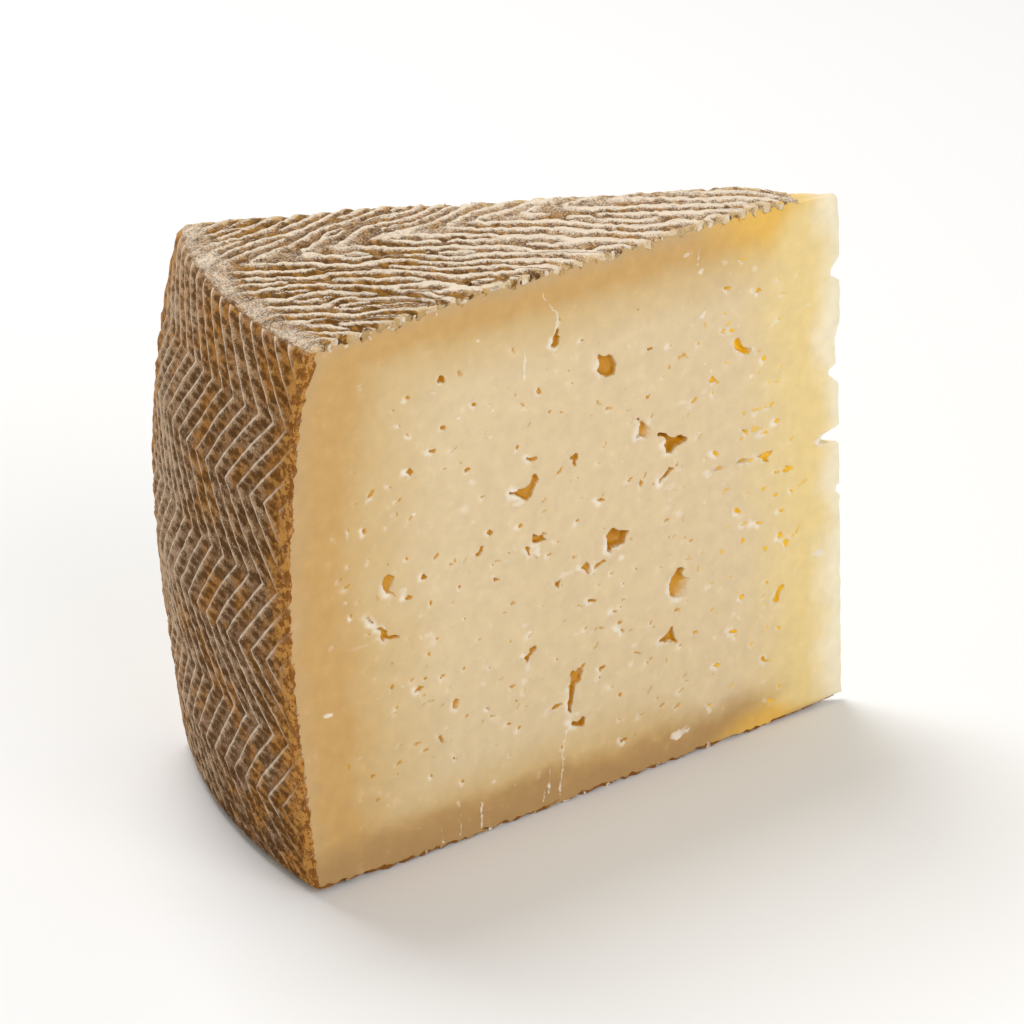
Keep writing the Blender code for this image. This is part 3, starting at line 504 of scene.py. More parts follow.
class WedgeColours(bpy.types.PropertyGroup):
    """Colours of the paste and the rind."""
    ivory: colour_property("Ivory", "Middle of the cut", "#E0C89E")
    wheat: colour_property("Wheat", "Between the ivory and the amber", "#D6B882")
    amber: colour_property("Amber", "Drier paste beside the rind", "#CDA362")
    edge: colour_property("Edge", "Paste that touches the rind", "#C8A572")
    # Base is the darker paste at the foot: partly drier paste, partly painted shade near the floor
    base: colour_property("Base", "Paste at the foot of the cut", "#B68F59")
    # Straw, honey and cream are painted light: the glow where the thin tip lets light through, and its
    # near-white edge; honey is partly drier paste as well
    straw: colour_property("Straw", "Thin paste near the tip", "#EBD08E")
    honey: colour_property("Honey", "Thin and drier paste near the top of the tip", "#E9B954")
    cream: colour_property("Cream", "Tip edge", "#F6E7C6")
    # Hollow and glow are painted light: the amber of light gone through the paste inside the openings,
    # brighter to make up for their shade, and yellower near the tip
    hollow: colour_property("Hollow", "Inside of the openings", "#CA8E14")
    glow: colour_property("Glow", "Inside of the openings near the tip", "#F2C01E")
    flake: colour_property("Flake", "Chalky flakes on the cut", "#EEE1CC")
    bloom: colour_property("Bloom", "Chalky crests of the top", "#E7D6BF")
    thread: colour_property("Thread", "Chalky threads of the side", "#F5E0C6")
    dust: colour_property("Dust", "Chalky speckles of the side", "#CFB190")
    tan: colour_property("Tan", "Plain slopes of the side", "#8B6642")
    ochre: colour_property("Ochre", "Plain slopes of the top", "#937045")
    resin: colour_property("Resin", "Oily slopes of the top", "#A0712E")
    golden: colour_property("Golden", "Oily slopes of the side", "#B67B36")
    # Brown also paints the shade at the bottom of the faces' grooves
    brown: colour_property("Brown", "Stains of the rind", "#50310E")
    russet: colour_property("Russet", "Stains beside a cut", "#8C5722")
    apricot: colour_property("Apricot", "Strip of the rind beside a cut", "#CB9249")
    floor: colour_property("Floor", "The floor", "#F4F3F1")


def smooth_step(value, low, high):
    """Rises smoothly from 0 at low to 1 at high: 3t^2 - 2t^3 of the share between them."""
    share = np.clip((value - low) / (high - low), 0.0, 1.0)
    return share * share * (3.0 - 2.0 * share)


def waves(x, y, size, seed):
    """A smooth uneven field between about -1 and 1: a sum of seeded plane waves."""
    rng = np.random.default_rng(seed)
    total = 0.0
    for _ in range(WAVE_COUNT):
        heading = rng.uniform(0.0, 2.0 * math.pi)
        length = size * rng.uniform(0.7, 1.6)
        start = rng.uniform(0.0, 2.0 * math.pi)
        along = x * math.cos(heading) + y * math.sin(heading)
        total = total + np.sin(along * 2.0 * math.pi / length + start)
    return total / math.sqrt(WAVE_COUNT * 2.0)


def grain(points, size, seed, octaves=1):
    """Value noise between about -1 and 1 at points in mm: random numbers on a cubic lattice of the
    given size, mixed along each axis by the smooth step. Each octave halves the size and height."""
    rng = np.random.default_rng(seed)
    total = 0.0
    height = 1.0
    for _ in range(octaves):
        table = rng.uniform(-1.0, 1.0, (NOISE_TABLE,) * 3)
        place = points / size + rng.uniform(0.0, NOISE_TABLE, 3)
        cell = np.floor(place).astype(int)
        share = place - cell
        share = share * share * (3.0 - 2.0 * share)
        low = cell % NOISE_TABLE
        high = (cell + 1) % NOISE_TABLE
        value = 0.0
        for corner in np.ndindex(2, 2, 2):
            index = [np.where(corner[k], high[..., k], low[..., k]) for k in range(3)]
            parts = [share[..., k] if corner[k] else 1.0 - share[..., k] for k in range(3)]
            value = value + np.prod(parts, axis=0) * table[index[0], index[1], index[2]]
        total = total + height * value
        size = size / 2.0
        height = height / 2.0
    return total


def side_phase(arc, below_top):
    """Phase of the chevron print: the way round, less a sway that turns back at each band."""
    band = below_top / HEIGHT * SIDE_BANDS
    sway = BAND_SWAY * np.abs(band - 2.0 * np.round(band / 2.0))
    return (arc - sway) / SIDE_PITCH + SIDE_WANDER * waves(arc, below_top, WANDER_SIZE, SEED)


def fork_shift(along, across):
    """Phase added by short ridges squeezed in between the others. Round both ends of each the phase
    turns once: the difference of the two angles to the ends, over a full turn."""
    rng = np.random.default_rng(SEED + 6)
    total = 0.0
    for _ in range(FORK_COUNT):
        x = -FORK_FROM_TIP * math.sqrt(rng.uniform(0.01, 1.0))
        bent = rng.uniform(1.0, FORK_REACH)
        u = x * math.cos(FACE_SLANT) + bent * math.sin(FACE_SLANT)
        v = x * math.sin(FACE_SLANT) - bent * math.cos(FACE_SLANT)
        end = u + rng.uniform(*FORK_RUN)
        turn = np.arctan2(across - v, along - u) - np.arctan2(across - v, along - end)
        total = total + rng.choice((-1.0, 1.0)) * turn / (2.0 * math.pi)
    return total


def face_phase(x, y, turn):
    """Phase of the slanting ridges in plan: distance across them, mirrored at a rounded spine."""
    beyond = y * turn - SPINE_OFFSET
    bent = np.hypot(beyond * np.where(beyond > 0.0, 1.0 + FAR_FINER, 1.0), SPINE_WIDTH)
    along = x * math.cos(FACE_SLANT) + bent * math.sin(FACE_SLANT)
    across = x * math.sin(FACE_SLANT) - bent * math.cos(FACE_SLANT)
    wander = FACE_WANDER * waves(x, y, WANDER_SIZE, SEED + 1)
    return across / FACE_PITCH + wander + fork_shift(along, across)


def rind_swell(x, y, z):
    """Long swells and short lumps of the rind, in millimetres: two sums of waves."""
    swell = waves(x + 0.6 * z, y - 0.8 * z, SWELL_SIZE, SEED + 2)
    lump = waves(x - 0.9 * z, y + 0.5 * z, LUMP_SIZE, SEED + 3)
    return SWELL_DEPTH * swell + LUMP_DEPTH * lump


def belly_radius(z):
    """Radius of the side at a height: the rim's, plus a bulge of one less a power of the way off the
    middle."""
    off_middle = np.minimum(np.abs(2.0 * z / HEIGHT - 1.0), 1.0)
    power = np.where(z > HEIGHT / 2.0, BELLY_POWER_TOP, BELLY_POWER_BASE)
    rim = BASE_RIM_RADIUS + (RIM_RADIUS - BASE_RIM_RADIUS) * z / HEIGHT
    return rim + (BELLY_RADIUS - rim) * (1.0 - off_middle ** power)


def crown_share(radius, inward):
    """Share of a crown's height: 0 at the rim and the tip, 1 from the given distance inside the rim."""
    return smooth_step(RIM_RADIUS - radius, 0.0, inward) * smooth_step(radius, 0.0, CROWN_FROM_TIP)


def cut_length(radius, z):
    """Length of a cut from the leaning tip line to a circle round the axis, by the cosine rule."""
    lean = TIP_LEAN * (1.0 - z / HEIGHT)
    return lean * math.cos(HALF_ANGLE) + np.sqrt(radius * radius - (lean * math.sin(HALF_ANGLE)) ** 2)


def place(across, radius, z):
    """Plan position at a share across the slice (-1 front cut, 1 back cut), a radius and a height.

    The cuts are flat and meet on the tip line, which leans outwards towards the base.
    """
    lean = TIP_LEAN * (1.0 - z / HEIGHT)
    full = np.maximum(radius, RIM_RADIUS)
    inward = np.minimum(radius / RIM_RADIUS, 1.0)
    widest = np.arcsin(cut_length(full, z) * math.sin(HALF_ANGLE) / full)
    angle = across * widest
    x = lean + inward * (-full * np.cos(angle) - lean)
    y = inward * full * np.sin(angle)
    return x, y


def on_cut(side, from_tip, below_top, depth):
    """Points on a cut (side -1 front, 1 back), a depth inside it. The half thickness at the tip is
    rounded off: half of a + sqrt(a^2 + 4t^2) for a sharp half thickness a and a least one t."""
    sharp = from_tip * math.sin(HALF_ANGLE)
    half = (sharp + np.sqrt(sharp * sharp + 4.0 * TIP_HALF_THICKNESS ** 2)) / 2.0
    lean = TIP_LEAN * below_top / HEIGHT
    x = lean - from_tip * math.cos(HALF_ANGLE) - depth * math.sin(HALF_ANGLE)
    y = side * (half - depth * math.cos(HALF_ANGLE))
    return np.stack(np.broadcast_arrays(x, y, HEIGHT - below_top), axis=-1)


def tip_start(below_top):
    """Where the paste begins, measured from the tip line: the notches less the bulge, plus a wobble.
    A notch goes in by a smooth step, stays, and comes out by another. The upper corner is worn off
    by a bell curve."""
    upper, lower, height = TIP_BULGE
    bulge = smooth_step(below_top, upper, upper + TIP_BULGE_EASE[0])
    bulge = bulge * smooth_step(-below_top, -lower, TIP_BULGE_EASE[1] - lower)
    start = TIP_WOBBLE * waves(below_top, 0.0, 3.1, SEED + 20) - height * bulge
    ragged = 1.0 + 0.1 * waves(below_top, 0.0, 1.3, SEED + 21)
    for top, deep_from, deep_to, end, inward in TIP_NOTCHES:
        into = smooth_step(below_top, top, deep_from) * smooth_step(-below_top, -end, -deep_to)
        start = start + inward * into * ragged
    return start + TIP_CORNER[0] * np.exp(-(np.maximum(below_top, 0.0) / TIP_CORNER[1]) ** 2)


def section_rind(side, run, sizes, seed):
    """Thickness of the rind where a cut shows it, along the cut: the plain one, unevenly waved."""
    long = waves(run, side * 5.0, 5.2, seed)
    short = waves(run, side * 9.0, 1.9, seed + 1)
    return sizes.rind / MM * (1.0 + 0.4 * long + 0.45 * short)


def paste_outline(side, along, down, sizes):
    """Distance from the tip and below the top for shares along and down a cut. The upper and lower
    ends lie one rind inside the crowned faces, lower where a ridge of the top hangs over them, and
    the outer end one rind inside the side."""
    nominal = along * RIM_RADIUS
    under = smooth_step(nominal, sizes.bare / MM - 2.0, sizes.bare / MM + 0.5)
    x = -nominal * math.cos(HALF_ANGLE)
    y = side * nominal * math.sin(HALF_ANGLE)
    _, fall = past_crest(face_phase(x, y, 1.0) + 0.1 * waves(nominal, 0.0, 2.3, SEED + 31), 0.6)
    hang = smooth_step(1.0 - fall, 0.2, 0.8) * (0.6 + 0.5 * waves(nominal, 0.0, 6.1, SEED + 35))
    top = section_rind(side, nominal, sizes, SEED + 30) * (0.35 + 0.65 * under)
    top = top + under * (OVERHANG[0] * hang - OVERHANG[1]) + OVERHANG[1]
    top = top - TOP_CROWN * crown_share(nominal, TOP_CROWN_FROM_RIM)
    base = section_rind(side, nominal, sizes, SEED + 32)
    base = HEIGHT + BASE_CROWN * crown_share(nominal, BASE_CROWN_FROM_RIM) - base
    below_top = top + (base - top) * down
    corner = sizes.corner / MM * np.exp(-(below_top / CORNER_HEIGHT) ** 2)
    outer = cut_length(belly_radius(HEIGHT - below_top), HEIGHT - below_top)
    outer = outer - section_rind(side, below_top, sizes, SEED + 34) - corner
    start = tip_start(below_top)
    return start + (outer - start) * along, below_top


def rough_outline(corners, rng):
    """An opening's outline: each side gets two points more, bowed inwards by a share of its length."""
    start = np.asarray(corners)
    step = np.roll(start, -1, axis=0) - start
    turned = np.sum(start[:, 0] * np.roll(start[:, 1], -1) - start[:, 1] * np.roll(start[:, 0], -1))
    inward = np.stack([-step[:, 1], step[:, 0]], axis=-1) * np.sign(turned)
    share = np.array([0.0, 1.0 / 3.0, 2.0 / 3.0])[None, :, None]
    bow = OUTLINE_BOW * rng.uniform(-0.5, 2.0, (len(start), 3, 1)) * 4.0 * share * (1.0 - share)
    return (start[:, None] + step[:, None] * share + inward[:, None] * bow).reshape(-1, 2)


def star_corners(right, down, width, height, turn, rng):
    """Corners of a small opening: three to five cusps on an oval, with nearer points between them."""
    count = rng.integers(3, 6)
    number = np.arange(2 * count)
    angle = (number + rng.uniform(-0.35, 0.35, 2 * count)) * math.pi / count
    angle = angle + rng.uniform(0.0, 2.0 * math.pi)
    sharp = 1.0 / (1.0 + 0.3 * width)
    cusp = rng.uniform(0.1, 0.7, 2 * count)
    dent = rng.uniform(0.0, 0.55, 2 * count)
    reach = 1.0 + sharp * np.where(number % 2 == 0, cusp, -dent)
    a = reach * np.cos(angle) * width / 2.0
    b = reach * np.sin(angle) * height / 2.0
    spin = math.radians(turn)
    along = right + a * math.cos(spin) - b * math.sin(spin)
    below = down + a * math.sin(spin) + b * math.cos(spin)
    return np.stack([along, below], axis=-1)


def marks_to_hollows(marks, seed):
    """Openings from marks: the cusped outline, with a depth that follows the size and the strength."""
    rng = np.random.default_rng(seed)
    made = []
    for right, down, width, height, turn, strength in marks:
        deep = (0.3 + 0.45 * min(width, 2.0)) * strength
        corners = star_corners(right, down, width, height, turn, rng)
        made.append((deep, strength, MARK_FADE, corners))
    return made


def random_marks(count, seed, widths, strengths):
    """Small marks at seeded places, mostly lying down to the right, fewer beside the rind."""
    rng = np.random.default_rng(seed)
    made = []
    while len(made) < count:
        right = rng.uniform(*MARK_RIGHT)
        down = rng.uniform(MARK_MARGIN, HEIGHT - MARK_MARGIN)
        from_edge = min(down, HEIGHT - down, right)
        if rng.uniform() > smooth_step(from_edge, 3.0, 20.0) * 0.7 + 0.3:
            continue
        width = rng.uniform(*widths)
        height = width * rng.uniform(0.12, 0.5)
        made.append((right, down, width, height, rng.normal(-10.0, 30.0), rng.uniform(*strengths)))
    return made


def random_flakes(count, seed):
    """Small pale flakes at seeded places, as right, down, width, height and strength."""
    rng = np.random.default_rng(seed)
    width = rng.uniform(*FLAKE_WIDTHS, count)
    right = rng.uniform(6.0, 98.0, count)
    down = rng.uniform(4.0, HEIGHT - 4.0, count)
    height = width * rng.uniform(0.3, 0.9, count)
    return tuple(zip(right, down, width, height, rng.uniform(*FLAKE_STRENGTHS, count)))


def outline_gap(points, outline):
    """How far points are outside an outline (negative inside) and the nearest place on it.

    On each side the nearest place is its start plus a share of it, held between 0 and 1. A point
    is inside where a line from it to the right crosses an odd number of sides.
    """
    step = (np.roll(outline, -1, axis=0) - outline)[None]
    off = points[:, None] - outline[None]
    share = np.clip(np.sum(off * step, axis=-1) / np.sum(step * step, axis=-1), 0.0, 1.0)
    away = off - step * share[..., None]
    gaps = np.hypot(away[..., 0], away[..., 1])
    best = np.argmin(gaps, axis=1)
    pick = np.arange(len(points))
    level = np.where(step[..., 1] == 0.0, 1.0, step[..., 1])
    crosses = (off[..., 1] < 0.0) != (off[..., 1] < step[..., 1])
    crosses = crosses & (off[..., 0] < step[..., 0] * off[..., 1] / level)
    inside = np.sum(crosses, axis=1) % 2 == 1
    return np.where(inside, -1.0, 1.0) * gaps[pick, best], points - away[pick, best]


def carve(right, down, hollows, cell, seed):
    """Depth below a cut at each of its points, the strength of the colour there, and a pale smear with a
    painted highlight.

    Inside an outline the depth rises from the rim over the width of the wall and may fade towards
    the tip, and so does the colour inside, which is painted light. The wire has smeared paste beside
    an opening, to its left and below, and light catches the raised lip there: the pale colour is
    partly the smear and partly a painted highlight, and it falls off as exp(-(gap / width)^2).
    Points close to a rim are moved onto it, so that it stays crisp.
    """
    rng = np.random.default_rng(seed)
    depth = np.zeros_like(right)
    inner = np.zeros_like(right)
    smear_and_highlight = np.zeros_like(right)
    for deep, strength, fade, corners in hollows:
        outline = rough_outline(corners, rng)
        low = outline.min(axis=0)
        high = outline.max(axis=0)
        reach = min(SMEAR_AND_HIGHLIGHT_REACH, 0.5 + 0.5 * float(np.max(high - low)))
        near = (right > low[0] - reach) & (right < high[0] + reach)
        index = np.nonzero(near & (down > low[1] - reach) & (down < high[1] + reach))
        points = np.stack([right[index], down[index]], axis=-1)
        gap, rim = outline_gap(points, outline)
        snap = np.abs(gap) < SNAP_SHARE * cell
        points[snap] = rim[snap]
        gap[snap] = 0.0
        right[index], down[index] = points.T
        share = (points - low) / (high - low)
        toward = smooth_step(0.65 * share[:, 0] + 0.35 * share[:, 1], 0.2, 0.9)
        wall = smooth_step(-gap, 0.0, WALL_WIDTH)
        floor = 0.75 + 0.25 * smooth_step(-gap, WALL_WIDTH, 1.2)
        sunk = HOLLOW_SHARE * deep * wall * floor * (1.0 - fade * toward)
        depth[index] = np.maximum(depth[index], sunk)
        # The colour inside is painted light, the amber of light gone through the paste
        tinted = strength ** 0.6 * smooth_step(-gap, -0.2 * WALL_WIDTH, 0.5 * WALL_WIDTH)
        inner[index] = np.maximum(inner[index], tinted * (1.0 - fade ** 1.4 * toward))
        from_middle = points - (low + high) / 2.0
        facing = SMEAR_AND_HIGHLIGHT_SIDE[1] * from_middle[:, 1] + SMEAR_AND_HIGHLIGHT_SIDE[0] * from_middle[:, 0]
        facing = np.clip(facing / (np.hypot(*from_middle.T) + 0.01) + 0.2, 0.0, 1.0)
        width = SMEAR_AND_HIGHLIGHT_WIDTH * min(1.0, reach / SMEAR_AND_HIGHLIGHT_REACH)
        beside = np.exp(-(np.maximum(gap, 0.0) / width) ** 2) * facing * (gap >= 0.0)
        beside = beside * min(1.0, SMEAR_AND_HIGHLIGHT_STRENGTH * strength * reach / SMEAR_AND_HIGHLIGHT_REACH)
        smear_and_highlight[index] = np.maximum(smear_and_highlight[index], beside)
    return depth, inner, smear_and_highlight


def flake_share(right, down, flakes, scratches, seed):
    """How chalky each point of a cut is: ragged ovals, and narrow broken bands along the scratches."""
    spot = np.stack([right, down, right * 0.0], axis=-1)
    ragged = grain(spot, 0.9, seed, 2)
    broken = smooth_step(grain(spot * (1.0, 0.5, 1.0), 1.5, seed + 9, 2), -0.8, 0.2)
    share = np.zeros_like(right)
    for away, below, width, height, strength in flakes:
        ring = np.hypot((right - away) / (width / 2.0), (down - below) / (height / 2.0))
        inside = smooth_step(1.1 + 0.5 * ragged - ring, 0.0, 0.6)
        share = np.maximum(share, FLAKE_STRENGTH * strength * inside)
    for run in scratches:
        for (u0, v0), (u1, v1) in zip(run[:-1], run[1:]):
            step = np.array([u1 - u0, v1 - v0])
            along = ((right - u0) * step[0] + (down - v0) * step[1]) / step.dot(step)
            along = np.clip(along, 0.0, 1.0)
            off = np.hypot(right - u0 - along * step[0] + 0.35 * ragged, down - v0 - along * step[1])
            line = smooth_step(-off, -SCRATCH_WIDTH, -SCRATCH_WIDTH * 0.3)
            share = np.maximum(share, SCRATCH_STRENGTH * line * broken)
    return share


def back_openings():
    """Openings of the back cut, by the solid's own rule: one in each cell of a coarse grid. Each has
    the outline of one of the front's, centred, mirrored, scaled to its width and turned."""
    rng = np.random.default_rng(SEED + 5)
    pick = np.random.default_rng(SEED + 57)
    made = []
    for column, row in np.ndindex(BACK_CELLS, BACK_CELLS):
        shift = rng.uniform(0.15, 0.85, size=2)
        away = BACK_FROM_TIP[0] + BACK_FROM_TIP[1] * (column + shift[0]) / BACK_CELLS
        below = BACK_BELOW_TOP[0] + BACK_BELOW_TOP[1] * (row + shift[1]) / BACK_CELLS
        width = rng.uniform(1.8, 4.4)
        height = width * rng.uniform(0.5, 1.0)
        turn = math.radians(rng.uniform(-50.0, 50.0))
        deep, strength, fade, corners = FRONT_HOLLOWS[pick.integers(0, BORROWED_OUTLINES)]
        low = np.min(corners, axis=0)
        high = np.max(corners, axis=0)
        centred = (np.array(corners) - (low + high) / 2.0) / np.max(high - low)
        scaled = centred * (1.2 * width, 0.6 * (width + height))
        spun = scaled @ ((-math.cos(turn), -math.sin(turn)), (-math.sin(turn), math.cos(turn)))
        made.append((deep, strength, fade * 0.5, spun + (CUT_SPAN - away, below)))
    return made


def cut_surface(side, grid, hollows, flakes, scratches, sizes, seed):
    """One cut of the paste: a plane with openings, knife marks and a low uneven swell, and the
    values that its material reads."""
    rows, columns = grid
    along = np.linspace(0.0, 1.0, columns)[None, :]
    down = np.linspace(0.0, 1.0, rows)[:, None]
    outline = np.broadcast_arrays(*paste_outline(side, along, down, sizes))
    from_tip, below_top = (np.array(part) for part in outline)
    right = CUT_SPAN - from_tip
    depth, inner, smear_and_highlight = carve(right, below_top, hollows, RIM_RADIUS / columns, seed)
    from_tip = CUT_SPAN - right
    above_base = HEIGHT - below_top
    flake = flake_share(right, below_top, flakes, scratches, seed + 1)
    spot = np.stack([from_tip, below_top, from_tip * 0.0], axis=-1)
    swell = CUT_SWELL * waves(from_tip, below_top, 11.0, seed + 2)
    swell = swell + CUT_GRAIN * grain(spot, 2.4, seed + 3, 2)
    knife = KNIFE_MARKS * grain(spot * KNIFE_STRETCH, 1.0, seed + 4)
    torn = TORN_FLOOR * grain(spot, 0.7, seed + 5, 2) * smooth_step(depth, 0.1, 0.6)
    raised = FLAKE_RAISED * flake * (0.8 + grain(spot, 0.6, seed + 6)) + SMEAR_RAISED * smear_and_highlight
    relief = swell + knife + torn - raised
    thick = np.maximum(from_tip, 0.0) * math.sin(HALF_ANGLE)
    inward = np.minimum(depth, thick * 0.9) + relief * smooth_step(from_tip, 0.0, 4.0)
    points = on_cut(side, from_tip, below_top, inward)
    from_side = cut_length(belly_radius(above_base), above_base) - from_tip
    smear_and_highlight = smear_and_highlight * (0.6 + 0.4 * grain(spot, 1.4, seed + 7, 2))
    near_base = above_base * (1.0 + FOOT_DRYING * smooth_step(-from_tip, *FOOT_DRYING_FROM_TIP))
    layers = {
        "from_rind": np.minimum(np.minimum(below_top, near_base) * FACE_DRYING, from_side),
        "from_side": from_side,
        "from_base": above_base,
        "from_tip": from_tip,
        # The strength of the openings' painted light
        "hollow": inner,
        # Chalky flakes, and the smear beside the openings, which is partly a painted highlight
        "flake": np.clip(np.maximum(flake, smear_and_highlight), 0.0, 1.0),
    }
    return points, layers


def half_paste(name, side, surface, sizes):
    """One half of the paste: a cut, closed by a flat face midway between the cuts."""
    outer, layers = surface
    down = np.linspace(0.0, 1.0, MIDDLE_GRID[0])[:, None]
    along = np.linspace(0.0, 1.0, MIDDLE_GRID[1])[None, :]
    from_tip, below_top = np.broadcast_arrays(*paste_outline(side, along, down, sizes))
    middle = on_cut(side, from_tip, below_top, 0.0) * (1.0, 0.0, 1.0)
    middle_layers = {key: 0.0 * from_tip for key in layers}
    middle_layers["from_tip"] = from_tip
    middle_layers["from_base"] = HEIGHT - below_top
    middle_layers["from_rind"] = np.minimum(below_top, HEIGHT - below_top) * FACE_DRYING
    middle_layers["from_side"] = RIM_RADIUS - from_tip
    return make_mesh(name, *closed_body(outer, middle, layers, middle_layers))


def rim_bend(rim, rounding, height, turn):
    """Points of the bend between a face and the side, which it meets at the given height, by the
    bend's turn: (radius, depth, outwards, upwards)."""
    start = rim - rounding
    radius = start + (belly_radius(np.array(height)) - start) * np.sin(turn)
    return np.stack([radius, rounding * (1.0 - np.cos(turn)), np.sin(turn), np.cos(turn)], axis=-1)


def past_crest(phase, lowest):
    """Share of the way from one crest to the next, and the fall from them: 0 on a crest, and 1 at
    the lowest place, which lies at the given share."""
    past = phase - np.floor(phase)
    return past, np.minimum(past / lowest, (1.0 - past) / (1.0 - lowest))


def side_print(arc, below_top, lumps, clods):
    """The side's print: its phase, untidier towards the base, and its height, 1 on a crest. From each
    crest it falls slowly towards the front cut and rises steeply back."""
    mess = 0.01 + 0.08 * smooth_step(below_top, *SIDE_MESS)
    turns = side_phase(arc, below_top) + mess * lumps
    _, fall = past_crest(turns, SIDE_LOWEST)
    return turns, 1.0 - fall + 0.12 * clods


def face_crest(turns, level, clods):
    """Height of a face's print, 1 on a crest: one less the fall, rounded by a power, plus clods."""
    _, fall = past_crest(turns, FACE_LOWEST)
    return np.clip(1.0 - level * fall ** 1.3 + clods, 0.0, 1.0)


def outer_point(across, radius, z, out, up, sizes):
    """The rind's outer surface and its print, as in the solid, with finer lumps and grain.

    The top's print falls towards the viewer of each half. It is weaker on the spine and beyond it,
    and untidy towards the tip, where the rind is worn down. The outermost half millimetre beside a
    cut is crumbled back.
    """
    x, y = place(across, radius, z)
    spot = np.stack(np.broadcast_arrays(x, y, z), axis=-1)
    lumps, clods, fine = (grain(spot, size, SEED + 40 + k, 2) for k, size in enumerate(RIND_GRAINS))
    off_cut = (1.0 - np.abs(across)) * HALF_ANGLE * radius
    from_rim = RIM_RADIUS - radius
    from_face = np.minimum(z, HEIGHT - z)
    swell = rind_swell(x, y, z)
    texture = sizes.grain / MM * (clods + 0.7 * fine)

    arc = -across * HALF_ANGLE * RIM_RADIUS
    side_turns, side_crest = side_print(arc, HEIGHT - z, lumps, clods)
    on_side = smooth_step(from_face, *SIDE_FADE) * out
    side = on_side * (SIDE_SHOWN * SIDE_RELIEF * (side_crest - 0.4) + 0.4 * swell) + 0.5 * out * texture

    past_tip = smooth_step(radius, *TIP_MARGIN)
    on_face = smooth_step(from_rim + 0.7 * lumps, *FACE_MARGIN) * past_tip
    messy = smooth_step(x, *TOP_MESS)
    spine = y - SPINE_OFFSET + 1.4 * lumps
    level = 1.0 - 0.6 * np.exp(-(spine / 2.2) ** 2) - FAR_LOWER * smooth_step(spine, 0.0, 3.0)
    level = level * (1.0 - 0.4 * messy * smooth_step(lumps, -0.2, 0.6))
    top_turns = face_phase(x, y, 1.0) + (0.03 + 0.06 * messy) * lumps
    top_crest = face_crest(top_turns * np.where(spine > 0.0, 1.0, -1.0), level, 0.12 * clods)
    seam = np.exp(-((from_rim - SEAM_FROM_RIM) / SEAM_WIDTH) ** 2)
    top = on_face * (FACE_RELIEF * (top_crest - 0.5) + swell) + SEAM_RELIEF * seam
    top = top + texture * (1.0 + 0.5 * messy)
    top = top + 0.3 * (1.0 - on_face) * lumps * smooth_step(from_rim, 0.0, 1.0) * past_tip
    top = top + TOP_CROWN * crown_share(radius, TOP_CROWN_FROM_RIM)
    bare = sizes.bare / MM
    top = top - TIP_WEAR[0] * (1.0 - smooth_step(radius, bare, bare + TIP_WEAR[1]))

    base_turns = face_phase(x, y, -1.0) + 0.05 * lumps
    base_crest = face_crest(base_turns, 1.0, 0.1 * clods)
    from_patch = np.hypot(x + REST_PATCH_FROM_TIP, y) - REST_PATCH_RADIUS
    groove = smooth_step(from_patch, 0.0, REST_PATCH_BLEND) * (1.0 - base_crest)
    base = BASE_CROWN * crown_share(radius, BASE_CROWN_FROM_RIM) - on_face * FACE_RELIEF * groove
    base = base - np.abs(texture) * 0.5

    crumbled = (0.1 + 0.12 * np.abs(clods)) * np.exp(-(off_cut / CRUMBLED_WIDTH) ** 2)
    side = side - crumbled * out
    rise = np.where(up > 0.0, top, base) * up - crumbled * up
    x, y = place(across, radius + side, z + rise)
    points = np.stack(np.broadcast_arrays(x, y, z + rise), axis=-1)
    on_top = smooth_step(np.abs(up), 0.55, 0.85)
    shown = smooth_step(from_face, *SIDE_TINT_FADE)
    layers = {
        "turns": np.where(np.abs(up) > out, np.where(up > 0.0, top_turns, base_turns), side_turns),
        "seen": np.where(up > out, spine, 1.0),
        "print": shown + (on_face * level - shown) * on_top,
        "on_top": on_top,
        "off_cut": off_cut,
    }
    return points, {name: layer + x * 0.0 for name, layer in layers.items()}


def grid_faces(rows, columns, start):
    """The quads of a grid of points that are stored row by row."""
    index = np.arange(rows * columns).reshape(rows, columns) + start
    corners = [index[:-1, :-1], index[1:, :-1], index[1:, 1:], index[:-1, 1:]]
    return np.stack(corners, axis=-1).reshape(-1, 4)


def grid_rim(rows, columns, start):
    """A grid's outer points in the order that its faces turn, and how far round each is, from 0 to 4."""
    index = np.arange(rows * columns).reshape(rows, columns) + start
    down = np.linspace(0.0, 1.0, rows)[:-1]
    right = np.linspace(0.0, 1.0, columns)[:-1]
    rim = [index[:-1, 0], index[-1, :-1], index[:0:-1, -1], index[0, :0:-1]]
    share = [down, 1.0 + right, 2.0 + down, 3.0 + right]
    return np.concatenate(rim), np.concatenate(share)


def strip_faces(rim_a, share_a, rim_b, share_b):
    """Triangles between two rims that run the same way round, taken in the order of their shares."""
    next_a = np.append(share_a[1:], 4.0)
    next_b = np.append(share_b[1:], 4.0)
    met_b = np.searchsorted(share_b, next_a, side='left') - 1
    met_a = (np.searchsorted(np.append(share_a, 4.0), next_b, side='right') - 1) % len(rim_a)
    from_a = np.stack([np.roll(rim_a, -1), rim_a, rim_b[met_b]], axis=-1)
    from_b = np.stack([rim_b, np.roll(rim_b, -1), rim_a[met_a]], axis=-1)
    return np.concatenate([from_a, from_b])


